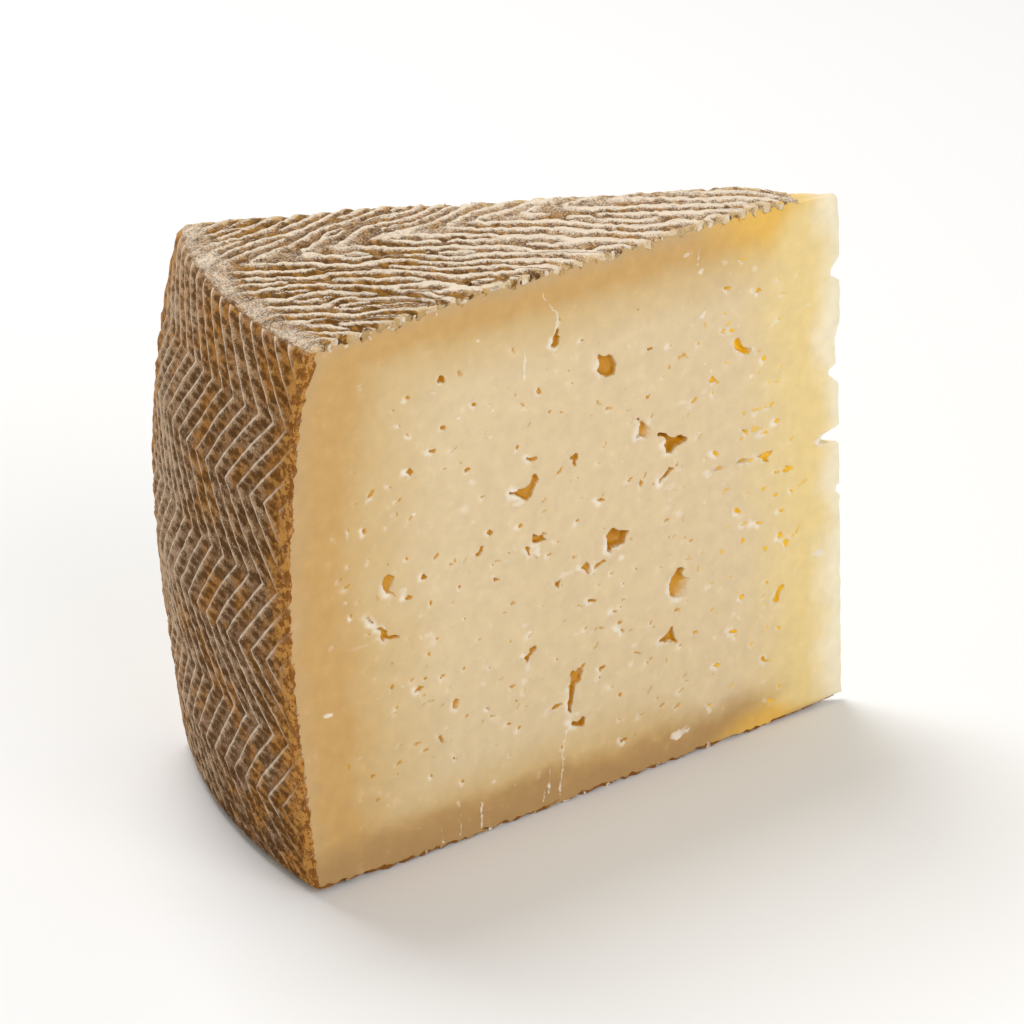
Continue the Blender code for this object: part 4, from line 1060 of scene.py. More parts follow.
def closed_body(outer, inner, layers, inner_layers):
    """A closed body of two facing grids, joined round their rims, with its faces outwards.

    Six times its volume is the sum over its triangles of a dot (b cross c); where that is
    negative, all faces are turned round.
    """
    count = outer.shape[0] * outer.shape[1]
    quads = grid_faces(*outer.shape[:2], 0)
    back = grid_faces(*inner.shape[:2], count)[:, ::-1]
    strip = strip_faces(*grid_rim(*outer.shape[:2], 0), *grid_rim(*inner.shape[:2], count))
    points = np.concatenate([outer.reshape(-1, 3), inner.reshape(-1, 3)])
    quads = np.concatenate([quads, back])
    a, b, c, d = (points[quads[:, k]] for k in range(4))
    e, f, g = (points[strip[:, k]] for k in range(3))
    volume = np.sum(a * np.cross(b, c)) + np.sum(a * np.cross(c, d)) + np.sum(e * np.cross(f, g))
    if volume < 0.0:
        quads = quads[:, ::-1]
        strip = strip[:, ::-1]
    joined = {name: np.concatenate([layers[name].ravel(), inner_layers[name].ravel()]) for name in layers}
    return points, (quads, strip), joined


def make_mesh(name, points, face_sets, layers):
    """A mesh in metres in the frame's place, from arrays of points, faces and named values."""
    mesh = bpy.data.meshes.new(name)
    placed = (points + AXIS_PLACE) * MM
    mesh.vertices.add(len(placed))
    mesh.vertices.foreach_set("co", placed.astype(np.float32).ravel())
    corners = np.concatenate([faces.ravel() for faces in face_sets])
    sizes = np.concatenate([np.full(len(faces), faces.shape[1]) for faces in face_sets])
    mesh.loops.add(len(corners))
    mesh.loops.foreach_set("vertex_index", corners.astype(np.int32))
    mesh.polygons.add(len(sizes))
    mesh.polygons.foreach_set("loop_start", (np.cumsum(sizes) - sizes).astype(np.int32))
    mesh.update(calc_edges=True)
    for layer, values in layers.items():
        attribute = mesh.attributes.new(layer, 'FLOAT', 'POINT')
        attribute.data.foreach_set("value", np.asarray(values, dtype=np.float32))
    return mesh


def add_piece(name, mesh, slot):
    """Shows a mesh as a piece that rides with the wedge and takes the solid's place."""
    piece = bpy.data.objects.new(name, mesh)
    bpy.context.scene.collection.objects.link(piece)
    mesh.materials.append(slot_material(slot))
    mesh.shade_smooth()
    mesh.set_sharp_from_angle(angle=SHARP_ANGLE)
    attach(piece, "root")
    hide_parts("cheese_wedge")


def thinned(mesh, triangles):
    """The mesh with about the given number of triangles, kept where its relief needs them."""
    helper = bpy.data.objects.new("thinning", mesh)
    bpy.context.scene.collection.objects.link(helper)
    modifier = helper.modifiers.new("thinning", 'DECIMATE')
    modifier.ratio = min(1.0, triangles / sum(len(p.vertices) - 2 for p in mesh.polygons))
    bpy.context.view_layer.update()
    thin = bpy.data.meshes.new_from_object(helper.evaluated_get(bpy.context.evaluated_depsgraph_get()))
    bpy.data.objects.remove(helper, do_unlink=True)
    return thin


def add_node(tree, kind, inputs=None, take=0, stops=None, **settings):
    """Adds a node and returns the output to take. Inputs are constants or sockets to link, and
    stops are a colour ramp's."""
    node = tree.nodes.new(kind)
    for name, value in settings.items():
        setattr(node, name, value)
    for key, value in (inputs or {}).items():
        if isinstance(value, bpy.types.NodeSocket):
            tree.links.new(value, node.inputs[key])
        else:
            node.inputs[key].default_value = value
    if stops:
        ramp = node.color_ramp.elements
        while len(ramp) < len(stops):
            ramp.new(1.0)
        for element, (position, colour) in zip(ramp, stops):
            element.position = position
            element.color = colour
    return node.outputs[take]


def new_material(name):
    """A material with nodes, its node tree and its shader."""
    material = bpy.data.materials.new(name)
    material.use_nodes = True
    tree = material.node_tree
    return material, tree, tree.nodes["Principled BSDF"]


def read_values(tree, attributes, noises):
    """The Object coordinates, and named values: the piece's own attributes, and noises given by the
    size of their grain in millimetres and their detail."""
    spot = add_node(tree, "ShaderNodeTexCoord", take="Object")
    values = {
        name: add_node(tree, "ShaderNodeAttribute", take="Fac", attribute_name=name)
        for name in attributes
    }
    for name, size, detail in noises:
        values[name] = add_node(tree, "ShaderNodeTexNoise", {
            "Vector": spot, "Scale": 1.0 / (size * MM), "Detail": detail})
    return spot, values


def add_values(tree, values, rows):
    """Works out named values in order. Each is a constant plus others times their weights, where a
    weight is a number or a value too, and with a span it is the share across it, from 0 to 1."""
    for name, constant, terms, *span in rows:
        total = constant
        for source, weight in terms.items():
            total = add_node(tree, "ShaderNodeMath", {
                0: values[source], 1: values.get(weight, weight), 2: total}, operation='MULTIPLY_ADD')
        if span:
            low, high, shape = span
            total = add_node(tree, "ShaderNodeMapRange", {
                "Value": total, "From Min": values.get(low, low), "From Max": high},
                interpolation_type=shape)
        values[name] = total


def paste_material(colours):
    """Pressed sheep's milk paste, aged and cut with a wire: dense, faintly waxy and translucent.

    The eye sees ivory that turns amber where it dried under the rind, a straw glow where the
    wedge is thin, and honey colour inside the openings, where light has gone through the paste.
    These glows are painted light in the base colour: the straw and the cream edge of the thin tip,
    and the amber and yellow inside the openings, which is also made brighter to make up for their
    shade. The darker paste at the foot is partly drier paste and partly painted shade near the floor.
    """
    material, tree, shader = new_material("aged_paste")
    _, values = read_values(
        tree, ("from_rind", "from_side", "from_base", "from_tip", "hollow", "flake"),
        (("broad", 9.0, 4.0), ("mottle", 2.2, 4.0), ("speck", 0.5, 2.0)))
    # Lengths are in millimetres, and the broad noise shifts them, so that no zone has an even edge
    add_values(tree, values, (
        ("drift", -4.5, {"broad": 9.0}),
        ("inside", 0.0, {"from_rind": 1.0}, 0.0, 20.0, 'LINEAR'),
        ("inner", -5.0, {"inside": 10.0, "drift": 1.0}),
        ("edge", 0.0, {"from_rind": 1.0, "drift": 1.0}, 0.0, 30.0, 'LINEAR'),
        # Darker towards the foot: partly drier paste, partly painted shade near the floor
        ("foot", 0.0, {"from_base": 1.0, "drift": 1.0}, 8.0, 2.0, 'SMOOTHSTEP'),
        # Painted light: the straw glow where light goes through the thin tip, and the cream of its edge
        ("thin", 0.0, {"from_tip": 1.0, "inner": 1.0}, 28.0, 11.0, 'SMOOTHSTEP'),
        ("brink_glow", 0.0, {"from_tip": 1.0, "drift": 1.0}, 6.5, 0.5, 'SMOOTHSTEP'),
        ("tipward", 0.0, {"from_tip": 1.0, "drift": 1.0}, 16.0, 5.0, 'SMOOTHSTEP'),
        # Painted light: the openings' amber turns to a yellow glow near the tip
        ("glows", 0.0, {"from_tip": 1.0}, 36.0, 22.0, 'SMOOTHSTEP'),
        ("opened", 0.0, {"hollow": 1.0, "speck": 0.4}, 0.3, 0.85, 'SMOOTHSTEP'),
        # Chalky flakes and the smear beside the openings, partly a painted highlight
        ("chalky", 0.0, {"flake": 1.0, "mottle": 1.0}, 0.6, 1.4, 'SMOOTHSTEP'),
        ("paler", 0.0, {"edge": 1.0, "tipward": 0.6}),
        ("clouds", 0.0, {"mottle": 1.0}, 0.3, 0.7, 'LINEAR'),
        ("cloud", 0.95, {"clouds": 0.09}),
        ("off_side", 0.0, {"from_side": 1.0}, 0.5, 1.6, 'LINEAR'),
        ("flecks", 0.2, {"speck": 1.0, "mottle": 1.0, "off_side": -0.7}, 1.08, 1.2, 'LINEAR'),
        ("fleck", 0.0, {"flecks": 0.8}),
        ("milky", 0.2, {"opened": -0.2})))
    tints = {name: getattr(colours, name) for name in WedgeColours.__annotations__}
    tints["zones"] = add_node(tree, "ShaderNodeValToRGB", {"Fac": values["edge"]}, stops=(
        (0.0, colours.edge), (0.15, colours.amber), (0.27, colours.amber), (0.5, colours.wheat),
        (0.95, colours.ivory)))
    # Painted glow of the thin tip: honey where the paste is also drier, straw further in
    tints["thin_glow_zones"] = add_node(tree, "ShaderNodeValToRGB", {"Fac": values["paler"]}, stops=(
        (0.0, colours.honey), (0.3, colours.honey), (0.75, colours.straw)))
    # Each colour is a mix of two others by a value
    for name, amount, first, second in (
            # The foot: drier paste and painted shade near the floor
            ("with_drier_and_shaded_foot", "foot", "zones", "base"),
            # Painted light: the glow of the thin tip and its near-white edge
            ("with_tip_glow", "thin", "with_drier_and_shaded_foot", "thin_glow_zones"),
            ("with_brink_glow", "brink_glow", "with_tip_glow", "cream"),
            ("with_flecks", "fleck", "with_brink_glow", "russet"),
            # Painted light inside the openings: amber, and yellower near the tip
            ("hollows", "glows", "hollow", "glow"),
            ("with_hollows", "opened", "with_flecks", "hollows"),
            ("with_flakes", "chalky", "with_hollows", "flake")):
        tints[name] = add_node(tree, "ShaderNodeMix", {
            0: values[amount], 6: tints[first], 7: tints[second]}, take=2, data_type='RGBA')
    tint = add_node(tree, "ShaderNodeVectorMath", {
        0: tints["with_flakes"], 1: values["cloud"]}, operation='MULTIPLY')
    tree.links.new(tint, shader.inputs["Base Color"])
    tree.links.new(values["milky"], shader.inputs["Subsurface Weight"])
    shader.inputs["Roughness"].default_value = 0.5
    shader.inputs["IOR"].default_value = 1.45
    shader.inputs["Subsurface Radius"].default_value = (1.0, 0.7, 0.35)
    shader.inputs["Subsurface Scale"].default_value = 0.8 * MM
    bump = add_node(tree, "ShaderNodeBump", {
        "Height": values["speck"], "Strength": 0.35, "Distance": 0.06 * MM})
    bump = add_node(tree, "ShaderNodeBump", {
        "Height": values["mottle"], "Strength": 0.3, "Distance": 0.1 * MM, "Normal": bump})
    tree.links.new(bump, shader.inputs["Normal"])
    return material


def rind_material(colours):
    """Natural rind, pressed in a plaited mould, brushed and rubbed with oil: dry and matt.

    The eye sees chalky crests, thin pale threads on the side, and slopes that go from dusty tan to
    golden brown where the oil has gathered. Both are stippled, and stained in soft spots that sit
    in rows along the print. Beside a cut the knife has broken the rind to an apricot strip. Part of
    the print's light and shade is painted: on the faces the slopes towards the viewer lose their bloom
    and the bottoms of the grooves are darker, partly the rind's brown and partly painted shade, and
    the steep rise before each crest is paler again, painted light. On the side the dust thins out
    before the next crest, which is partly painted shade.
    """
    material, tree, shader = new_material("brushed_rind")
    spot, values = read_values(
        tree, ("turns", "seen", "print", "on_top", "off_cut"),
        (("patch", 8.0, 3.0), ("clump", 1.4, 3.0), ("mottle", 0.6, 2.0), ("stipple", 0.26, 1.0)))
    for axis in "XYZ":
        values[axis] = add_node(tree, "ShaderNodeSeparateXYZ", {0: spot}, take=axis)
    # The print's turns are counted towards the viewer of each half, whose side the sign gives
    half = add_node(tree, "ShaderNodeMath", {0: values["seen"]}, operation='SIGN')
    turns = add_node(tree, "ShaderNodeMath", {0: values["turns"], 1: half}, operation='MULTIPLY')
    values["past"] = add_node(tree, "ShaderNodeMath", {0: turns}, operation='FRACT')
    values["off"] = add_node(tree, "ShaderNodeMath", {0: turns, 1: 0.5}, operation='PINGPONG')
    # Spots in rows: one cell for each turn of the print and each step along it, which is x + z
    step = 1.7 * MM
    add_values(tree, values, (("run", 0.0, {"X": 1.0 / step, "Z": 1.0 / step}),))
    cell = add_node(tree, "ShaderNodeCombineXYZ", {0: turns, 1: values["run"]})
    values["cells"] = add_node(tree, "ShaderNodeTexVoronoi", {
        "Vector": cell, "Scale": 1.0, "Randomness": 0.65}, voronoi_dimensions='2D')
    axis_x = AXIS_PLACE[0]
    # Where each kind of mark is: shares of the turn, of noises, and of lengths beside cut and base
    add_values(tree, values, (
        ("line", 0.0, {"off": 1.0}, 0.12, 0.02, 'SMOOTHSTEP'),
        # Down the faces' slopes towards the viewer the bloom gives way: partly the rind's brown, partly
        # painted shade
        ("slope_brown_and_shade", 0.0, {"past": 1.0}, 0.02, 0.5, 'SMOOTHSTEP'),
        # Painted light: the steep rise to the next crest of the faces is paler
        ("rise", 0.0, {"past": 1.0}, 0.93, 1.0, 'SMOOTHSTEP'),
        # On the side the dust thins out towards the next crest, which is then darker: partly painted shade
        ("fade", 0.0, {"past": 1.0}, 0.5, 0.0, 'SMOOTHSTEP'),
        # Partly stains and partly painted shade at the bottom of each groove of the faces
        ("valley_stain_and_shade", 0.0, {"past": 1.0}, 0.45, 0.88, 'SMOOTHSTEP'),
        ("oiled", 0.0, {"patch": 1.0}, 0.49, 0.64, 'SMOOTHSTEP'),
        ("warm", 0.0, {"off_cut": 1.0, "patch": -14.0}, 2.0, -5.0, 'SMOOTHSTEP'),
        ("spots", 0.0, {"cells": 1.0, "mottle": -0.5, "clump": -0.6}, 0.04, -0.4, 'SMOOTHSTEP'),
        ("specks", 0.0, {"mottle": 1.0}, 0.44, 0.66, 'SMOOTHSTEP'),
        ("foot", 0.0, {"Z": 1.0}, 2.6 * MM, 1.2 * MM, 'SMOOTHSTEP'),
        ("low", 0.0, {"Z": 1.0}, 20.0 * MM, 3.0 * MM, 'SMOOTHSTEP'),
        ("high", 0.0, {"Z": 1.0}, 60.0 * MM, 85.0 * MM, 'SMOOTHSTEP'),
        ("back", 0.0, {"Y": 1.0}, -4.0 * MM, 24.0 * MM, 'SMOOTHSTEP'),
        ("tipward", 0.0, {"X": 1.0}, (axis_x - 84.0) * MM, (axis_x - 40.0) * MM, 'SMOOTHSTEP'),
        ("section", 0.0, {"off_cut": 1.0}, 0.25, 0.05, 'SMOOTHSTEP'),
        ("blots", 0.0, {"clump": 1.0, "mottle": 0.5, "stipple": 0.4}, 0.89, 0.98, 'SMOOTHSTEP')))
    values["rich"] = add_node(tree, "ShaderNodeMath", {
        0: values["oiled"], 1: values["warm"]}, operation='MAXIMUM')
    # The dust lies on the side after each thread, and on the faces from each crest down its slope.
    # Where it thins out the print is darker, partly painted shade, and the faces' steep rise to the
    # next crest gets it back as painted light.
    add_values(tree, values, (
        ("on_side", 1.0, {"on_top": -1.0}),
        ("off_print", 1.0, {"print": -1.0}),
        ("side_dust_and_shade", 0.3, {"fade": 0.42, "spots": -0.3, "back": 0.34, "low": -0.16, "warm": -0.15}),
        ("top_dust_light_and_shade", 1.15, {"slope_brown_and_shade": -1.15, "rise": 1.0, "tipward": 0.33}),
        ("print_dust_light_and_shade", 0.0, {"side_dust_and_shade": "on_side", "top_dust_light_and_shade": "on_top"}),
        ("dust", 0.075, {
            "print_dust_light_and_shade": "print", "off_print": 0.62, "patch": -0.8, "clump": -0.8, "stipple": 1.45},
         0.1, 1.1, 'SMOOTHSTEP'),
        ("side_line", 0.0, {"line": "on_side"}),
        ("line_strength", 1.68, {"clump": -1.4, "patch": -0.6, "low": -0.5}),
        ("thread", 0.0, {"side_line": "line_strength"}),
        ("speck_strength", 0.4, {"low": 0.25}),
        ("speckled", 0.0, {"specks": "speck_strength"}),
        ("stained", 0.0, {"spots": 0.74}),
        ("top_valley_stain_and_shade", 0.0, {"valley_stain_and_shade": "on_top"}),
        ("valley_strength", 0.15, {"clump": 1.4, "tipward": -0.45}),
        ("deep", 0.0, {"top_valley_stain_and_shade": "valley_strength"}),
        ("oily", 0.0, {"rich": 1.0, "high": 0.5}),
        ("strip_end", 5.0, {"on_top": -4.3}),
        ("strip_share", -3.5, {"clump": 7.0, "off_cut": 1.0}, "strip_end", 0.1, 'SMOOTHSTEP'),
        ("strip_strength", 0.95, {"on_top": -0.4, "foot": 0.5}),
        ("strip", 0.0, {"strip_share": "strip_strength"}),
        ("blot", 0.0, {"blots": 0.95, "section": 0.25}),
        ("height", 0.0, {"line": "print", "stipple": 1.0})))
    tints = {name: getattr(colours, name) for name in WedgeColours.__annotations__}
    # Each colour is a mix of two others by a value
    for name, amount, first, second in (
            ("plain_slope", "on_top", "tan", "ochre"),
            ("oily_slope", "on_top", "golden", "resin"),
            ("slopes", "oily", "plain_slope", "oily_slope"),
            ("with_specks", "speckled", "slopes", "brown"),
            ("with_stains", "stained", "with_specks", "brown"),
            # Painted shade with stains at the bottom of the faces' grooves
            ("with_valley_stain_and_shade", "deep", "with_stains", "brown"),
            ("chalk", "on_top", "dust", "bloom"),
            # The dust here carries the print's painted shade and light as well
            ("with_dust", "dust", "with_valley_stain_and_shade", "chalk"),
            ("with_threads", "thread", "with_dust", "thread"),
            ("side_strip", "blot", "apricot", "russet"),
            ("face_strip", "foot", "wheat", "russet"),
            ("strips", "on_top", "side_strip", "face_strip"),
            ("with_strips", "strip", "with_threads", "strips")):
        tints[name] = add_node(tree, "ShaderNodeMix", {
            0: values[amount], 6: tints[first], 7: tints[second]}, take=2, data_type='RGBA')
    tree.links.new(tints["with_strips"], shader.inputs["Base Color"])
    shader.inputs["Roughness"].default_value = 0.86
    shader.inputs["Specular IOR Level"].default_value = 0.15
    shader.inputs["IOR"].default_value = 1.42
    bump = add_node(tree, "ShaderNodeBump", {
        "Height": values["height"], "Strength": 0.7, "Distance": 0.14 * MM})
    bump = add_node(tree, "ShaderNodeBump", {
        "Height": values["clump"], "Strength": 0.4, "Distance": 0.3 * MM, "Normal": bump})
    tree.links.new(bump, shader.inputs["Normal"])
    return material


def slot_material(slot):
    """The material of a slot, made once and then shared."""
    name, maker = {"paste": ("aged_paste", paste_material), "rind": ("brushed_rind", rind_material)}[slot]
    return bpy.data.materials.get(name) or maker(bpy.context.scene.wedge_colours)


class WEDGE_OT_paste(bpy.types.Operator):
    """The cheese inside the rind in two halves, each with its cut and its side of the tip edge."""
    bl_idname = "wedge.paste"
    bl_label = "Paste"

    def execute(self, context):
        sizes = context.scene.wedge_sizes
        marks = FRONT_MARKS + tuple(random_marks(*FRONT_NICKS))
        hollows = list(FRONT_HOLLOWS) + marks_to_hollows(marks, SEED + 52)
        flakes = FRONT_FLAKES + random_flakes(FLAKE_COUNT, SEED + 55)
        front = cut_surface(-1.0, FRONT_GRID, hollows, flakes, FRONT_SCRATCHES, sizes, SEED + 60)
        marks = random_marks(*BACK_MARKS) + random_marks(*BACK_NICKS)
        hollows = back_openings() + marks_to_hollows(marks, SEED + 54)
        flakes = random_flakes(FLAKE_COUNT, SEED + 56)
        back = cut_surface(1.0, BACK_GRID, hollows, flakes, (), sizes, SEED + 70)
        for name, side, surface in (("paste_front", -1.0, front), ("paste_back", 1.0, back)):
            mesh = half_paste(name, side, surface, sizes)
            add_piece(name, thinned(mesh, PASTE_TRIANGLES), "paste")
        return {'FINISHED'}


def inner_grid(corner_rows):
    """A coarse grid between the two cuts: each row runs straight from the front to the back cut."""
    front, back = corner_rows
    across = np.linspace(0.0, 1.0, INNER_GRID[1])[None, :, None]
    return front[:, None, :] + (back - front)[:, None, :] * across


def rind_body(name, profile, across, inner_ends, sizes):
    """A closed piece of rind: the printed surface outside, straight rows inside. The print's phase
    also runs down the section that a cut shows."""
    radius, z, out, up = (profile[..., k] for k in range(4))
    outer, layers = outer_point(across, radius, z, out, up, sizes)
    inner = inner_grid(inner_ends)
    inner_layers = {key: np.full(inner.shape[:2], float(np.mean(value))) for key, value in layers.items()}
    facing = float(np.mean(up))
    x, y = inner[..., 0], inner[..., 1]
    if abs(facing) > 0.5:
        inner_layers["turns"] = face_phase(x, y, math.copysign(1.0, facing))
        inner_layers["seen"] = np.where(facing > 0.0, y - SPINE_OFFSET, 1.0) + 0.0 * x
    else:
        arc = -np.linspace(-1.0, 1.0, INNER_GRID[1])[None, :] * HALF_ANGLE * RIM_RADIUS
        inner_layers["turns"] = side_phase(arc, HEIGHT - inner[..., 2])
    inner_layers["off_cut"] = np.zeros(inner.shape[:2])
    return make_mesh(name, *closed_body(outer, inner, layers, inner_layers))


def paste_edge(side, along, down, sizes):
    """Points of the paste's own edge on a cut, which the rind meets."""
    from_tip, below_top = paste_outline(side, along, down, sizes)
    return on_cut(side, from_tip, below_top, EDGE_DEPTH)


class WEDGE_OT_rind_side(bpy.types.Operator):
    """The rind round the side, with its chevron print."""
    bl_idname = "wedge.rind_side"
    bl_label = "Side rind"

    def execute(self, context):
        sizes = context.scene.wedge_sizes
        turn = np.linspace(math.pi / 4.0, math.pi / 2.0, BEND_ROWS)[:-1]
        top = rim_bend(RIM_RADIUS, TOP_ROUNDING, HEIGHT - TOP_ROUNDING, turn)
        base = rim_bend(BASE_RIM_RADIUS, BASE_ROUNDING, BASE_ROUNDING, turn)[::-1]
        z = np.linspace(HEIGHT - TOP_ROUNDING, BASE_ROUNDING, SIDE_GRID[0])
        side = np.stack([belly_radius(z), z, z * 0.0 + 1.0, z * 0.0], axis=-1)
        top = top * (1.0, -1.0, 1.0, 1.0) + (0.0, HEIGHT, 0.0, 0.0)
        base = base * (1.0, 1.0, 1.0, -1.0)
        profile = np.concatenate([top, side, base])[:, None, :]
        across = np.linspace(-1.0, 1.0, SIDE_GRID[1])[None, :]
        down = np.linspace(0.0, 1.0, INNER_GRID[0])
        ends = [paste_edge(cut, np.ones_like(down), down, sizes) for cut in (-1.0, 1.0)]
        add_piece("rind_side", rind_body("rind_side", profile, across, ends, sizes), "rind")
        return {'FINISHED'}


def face_rows(rim, rounding, height, begin, grid, flip):
    """Profile points of the top or base rind: out along the face, then half way round the bend."""
    turn = np.linspace(0.0, math.pi / 4.0, BEND_ROWS)[1:]
    share = np.linspace(0.0, 1.0, grid[0])[:, None]
    radius = begin + (rim - rounding - begin) * share
    flat = np.stack([radius, radius * 0.0, radius * 0.0, radius * 0.0 + 1.0], axis=-1)
    bend = rim_bend(rim, rounding, height, turn)[:, None, :] + np.zeros((1, grid[1], 1))
    profile = np.concatenate([flat, bend])
    if flip:
        return profile * (1.0, 1.0, 1.0, -1.0)
    return profile * (1.0, -1.0, 1.0, 1.0) + (0.0, HEIGHT, 0.0, 0.0)


class WEDGE_OT_rind_faces(bpy.types.Operator):
    """The rind of the top and the base, with slanting ridges."""
    bl_idname = "wedge.rind_faces"
    bl_label = "Top and base rind"

    def execute(self, context):
        sizes = context.scene.wedge_sizes
        faces = (
            ("rind_top", TOP_GRID, RIM_RADIUS, TOP_ROUNDING, sizes.bare / MM, 0.9, False),
            ("rind_base", BASE_GRID, BASE_RIM_RADIUS, BASE_ROUNDING, BASE_BARE, 0.18, True),
        )
        for name, grid, rim, rounding, bare, wave, flip in faces:
            down = float(flip)
            across = np.linspace(-1.0, 1.0, grid[1])[None, :]
            height = rounding if flip else HEIGHT - rounding
            begin = bare + wave * waves(across * 3.0, down, 1.4, SEED + 80)
            profile = face_rows(rim, rounding, height, begin, grid, flip)
            along = np.linspace(bare / RIM_RADIUS, 1.0, INNER_GRID[0])
            ends = [paste_edge(cut, along, np.full_like(along, down), sizes) for cut in (-1.0, 1.0)]
            add_piece(name, rind_body(name, profile, across, ends, sizes), "rind")
        return {'FINISHED'}


def crumb_shape():
    """A small ball as points and triangles: three rings of six points between two poles."""
    turn = np.arange(6) * math.pi / 3.0
    tilt = np.array([0.25, 0.5, 0.75])[:, None] * math.pi
    across = np.sin(tilt)
    rings = np.stack([across * np.cos(turn), across * np.sin(turn), np.cos(tilt) + turn * 0.0], axis=-1)
    points = np.concatenate([rings.reshape(-1, 3), [[0.0, 0.0, 1.0], [0.0, 0.0, -1.0]]])
    index = np.arange(18).reshape(3, 6)
    after = np.roll(index, -1, axis=1)
    band = np.concatenate([
        np.stack([index[:-1], index[1:], after[1:]], axis=-1).reshape(-1, 3),
        np.stack([index[:-1], after[1:], after[:-1]], axis=-1).reshape(-1, 3)])
    caps = np.concatenate([
        np.stack([np.full(6, 18), index[0], after[0]], axis=-1),
        np.stack([np.full(6, 19), after[2], index[2]], axis=-1)])
    return points, np.concatenate([band, caps])


def crumb_places(count, sizes, rng):
    """Places of crumbs on both cuts, as cut, distance from the tip and below the top. Nearly all lie
    along the top's edge, and a few along the side's. They thin out away from it as the size of a
    normal number."""
    side = np.where(rng.uniform(size=count) < CRUMBS_IN_FRONT, -1.0, 1.0)
    beside = rng.uniform(size=count) < CRUMBS_BESIDE
    away = 0.15 + 0.75 * np.abs(rng.normal(size=count))
    down = rng.uniform(1.0, HEIGHT - 1.0, count)
    outer = cut_length(belly_radius(HEIGHT - down), HEIGHT - down) - sizes.rind / MM
    along = rng.uniform(sizes.bare / MM + 1.0, RIM_RADIUS - 2.0, count)
    edge_down = 0.8 * away - TOP_CROWN * crown_share(along, TOP_CROWN_FROM_RIM)
    return side, np.where(beside, outer - away, along), np.where(beside, down, edge_down)


class WEDGE_OT_crumbs(bpy.types.Operator):
    """Crumbs of rind and of paste that the wire has left along the edges of the cuts."""
    bl_idname = "wedge.crumbs"
    bl_label = "Crumbs"

    def execute(self, context):
        sizes = context.scene.wedge_sizes
        for name, slot, seed in (("rind_crumbs", "rind", SEED + 90), ("paste_crumbs", "paste", SEED + 91)):
            add_piece(name, self.crumbs(name, sizes, np.random.default_rng(seed)), slot)
        return {'FINISHED'}

    def crumbs(self, name, sizes, rng):
        """One mesh of flat, uneven balls that lie on the cuts, sunk in by a part of their height."""
        count = sizes.crumbs
        ball, faces = crumb_shape()
        side, from_tip, below_top = (part[:, None] for part in crumb_places(count, sizes, rng))
        size = sizes.crumb / MM * rng.uniform(0.25, 1.0, (count, 1)) ** 1.5
        shape = ball[None] * rng.uniform(0.65, 1.25, (count, len(ball), 1))
        spin = rng.uniform(0.0, 2.0 * math.pi, (count, 1))
        narrow = rng.uniform(0.4, 0.9, (count, 1))
        a = shape[..., 0] * size
        b = shape[..., 1] * size * narrow
        along = from_tip + a * np.cos(spin) - b * np.sin(spin)
        down = below_top + a * np.sin(spin) + b * np.cos(spin)
        points = on_cut(side, along, down, -(0.12 * size + shape[..., 2] * size * 0.55))
        every = np.arange(count)[:, None, None] * len(ball) + faces[None]
        every = np.where(side[..., None] > 0.0, every[..., ::-1], every)
        value = rng.uniform(size=(count, 1))
        layers = {
            "from_rind": 4.0, "from_side": 9.0, "from_base": 40.0, "from_tip": from_tip,
            "hollow": 0.3 * (value > 0.6), "flake": 0.3 * (value < 0.25),
            "turns": 0.15 * value, "seen": 1.0, "print": 1.0, "on_top": 1.0, "off_cut": 4.0 * value,
        }
        layers = {key: (layer + 0.0 * along).ravel() for key, layer in layers.items()}
        return make_mesh(name, points.reshape(-1, 3), (every.reshape(-1, 3),), layers)


def direction(azimuth, elevation):
    """The unit vector from the object towards a viewer at an azimuth and elevation in degrees."""
    a = math.radians(azimuth)
    e = math.radians(elevation)
    return Vector((math.sin(a) * math.cos(e), -math.cos(a) * math.cos(e), math.sin(e)))


def aim(item, back):
    """Turns an object so that it looks along the direction opposite to back."""
    item.rotation_mode = 'QUATERNION'
    item.rotation_quaternion = (-back).to_track_quat('-Z', 'Y')


def add_softbox(name, azimuth, elevation, distance, size, energy, target):
    """A square soft light that looks at the target."""
    data = bpy.data.lights.new(name, 'AREA')
    data.shape = 'SQUARE'
    data.size = size
    data.energy = energy
    lamp = bpy.data.objects.new(name, data)
    bpy.context.scene.collection.objects.link(lamp)
    back = direction(azimuth, elevation)
    lamp.location = target + back * distance
    aim(lamp, back)


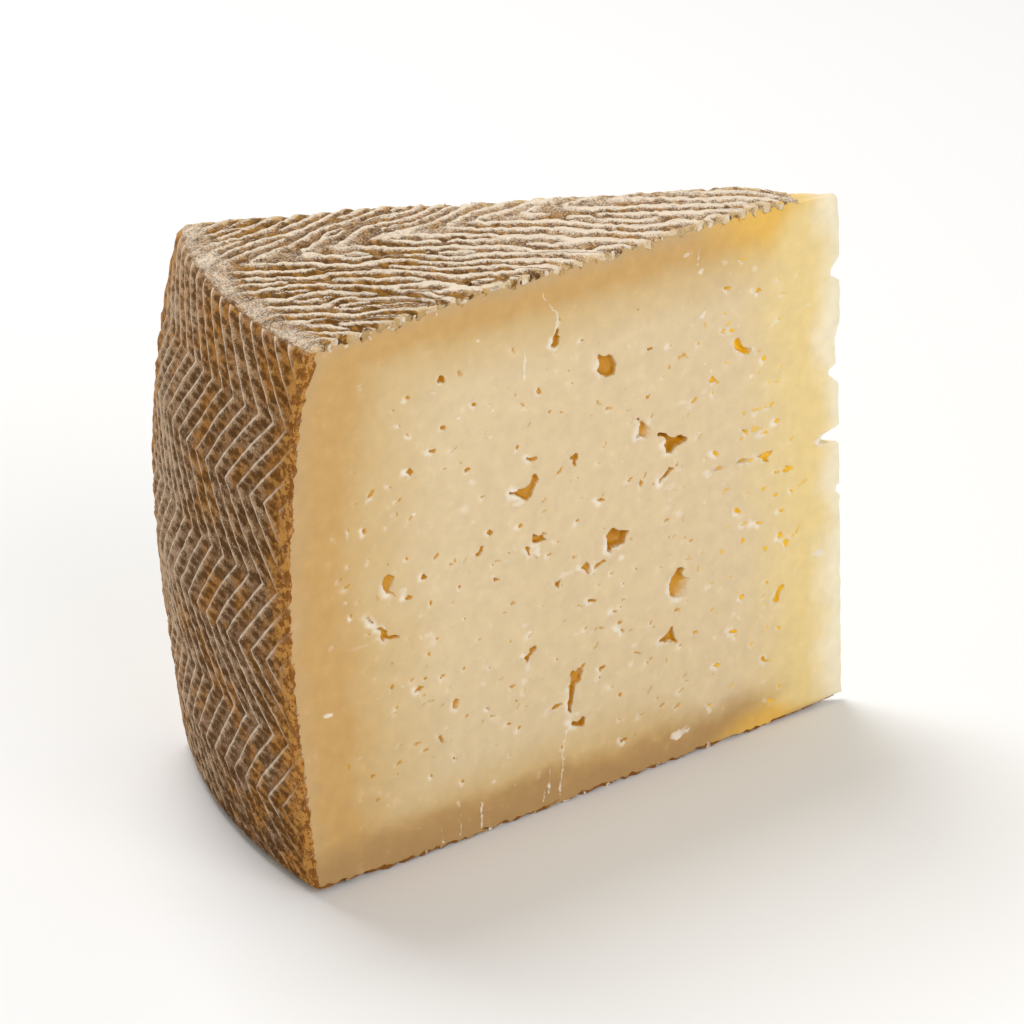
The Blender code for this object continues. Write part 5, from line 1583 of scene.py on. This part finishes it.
class WEDGE_OT_stage(bpy.types.Operator):
    """The floor, the soft studio light and the camera at the photograph's angle."""
    bl_idname = "wedge.stage"
    bl_label = "Stage"

    def execute(self, context):
        scene = context.scene
        back = direction(CAMERA_AZIMUTH, CAMERA_ELEVATION)
        right = direction(CAMERA_AZIMUTH + 90.0, 0.0)
        target = right * AIM_SIDEWAYS + Vector((AXIS_PLACE[0] + AIM_FROM_AXIS, 0.0, AIM_HEIGHT))
        target = target * MM
        data = bpy.data.cameras.new("camera")
        data.lens = CAMERA_LENS
        data.sensor_width = SENSOR_WIDTH
        data.clip_start = 0.01
        camera = bpy.data.objects.new("camera", data)
        scene.collection.objects.link(camera)
        camera.location = target + back * CAMERA_DISTANCE * MM
        aim(camera, back)
        scene.camera = camera
        for softbox in SOFTBOXES:
            add_softbox(*softbox, target)
        world = bpy.data.worlds.new("studio")
        world.use_nodes = True
        background = world.node_tree.nodes["Background"]
        background.inputs["Color"].default_value = (1.0, 1.0, 1.0, 1.0)
        background.inputs["Strength"].default_value = STUDIO_STRENGTH
        scene.world = world
        scene.view_settings.view_transform = 'Standard'
        scene.view_settings.look = 'None'
        self.add_floor(scene)
        return {'FINISHED'}

    def add_floor(self, scene):
        """A wide square floor under the wedge."""
        half = FLOOR_WIDTH / 2.0
        mesh = bpy.data.meshes.new("floor")
        corners = [(-half, -half, 0.0), (half, -half, 0.0), (half, half, 0.0), (-half, half, 0.0)]
        mesh.from_pydata(corners, [], [(0, 1, 2, 3)])
        floor = bpy.data.objects.new("floor", mesh)
        scene.collection.objects.link(floor)
        material, _, shader = new_material("matt_paper")
        shader.inputs["Base Color"].default_value = scene.wedge_colours.floor
        shader.inputs["Roughness"].default_value = 0.9
        mesh.materials.append(material)


OPERATORS = (WEDGE_OT_stage, WEDGE_OT_paste, WEDGE_OT_rind_side, WEDGE_OT_rind_faces, WEDGE_OT_crumbs)


class WEDGE_PT_panel(bpy.types.Panel):
    """Lists the pieces of the wedge with their sizes and colours."""
    bl_idname = "WEDGE_PT_panel"
    bl_label = "Manchego wedge"
    bl_space_type = 'VIEW_3D'
    bl_region_type = 'UI'
    bl_category = "Manchego"

    def draw(self, context):
        for operator in OPERATORS:
            self.layout.operator(operator.bl_idname)
        for group in (context.scene.wedge_sizes, context.scene.wedge_colours):
            box = self.layout.box()
            for name in type(group).__annotations__:
                box.prop(group, name)


CLASSES = (WedgeSizes, WedgeColours) + OPERATORS + (WEDGE_PT_panel,)


def register():
    """Registers the classes and hangs the sizes and colours on the scene."""
    for item in CLASSES:
        bpy.utils.register_class(item)
    bpy.types.Scene.wedge_sizes = bpy.props.PointerProperty(type=WedgeSizes)
    bpy.types.Scene.wedge_colours = bpy.props.PointerProperty(type=WedgeColours)


def unregister():
    """Takes back what register did."""
    del bpy.types.Scene.wedge_sizes
    del bpy.types.Scene.wedge_colours
    for item in reversed(CLASSES):
        bpy.utils.unregister_class(item)


def main():
    register()
    bpy.ops.wedge.stage()
    bpy.ops.wedge.paste()
    bpy.ops.wedge.rind_side()
    bpy.ops.wedge.rind_faces()
    bpy.ops.wedge.crumbs()


if __name__ == "__main__":
    main()
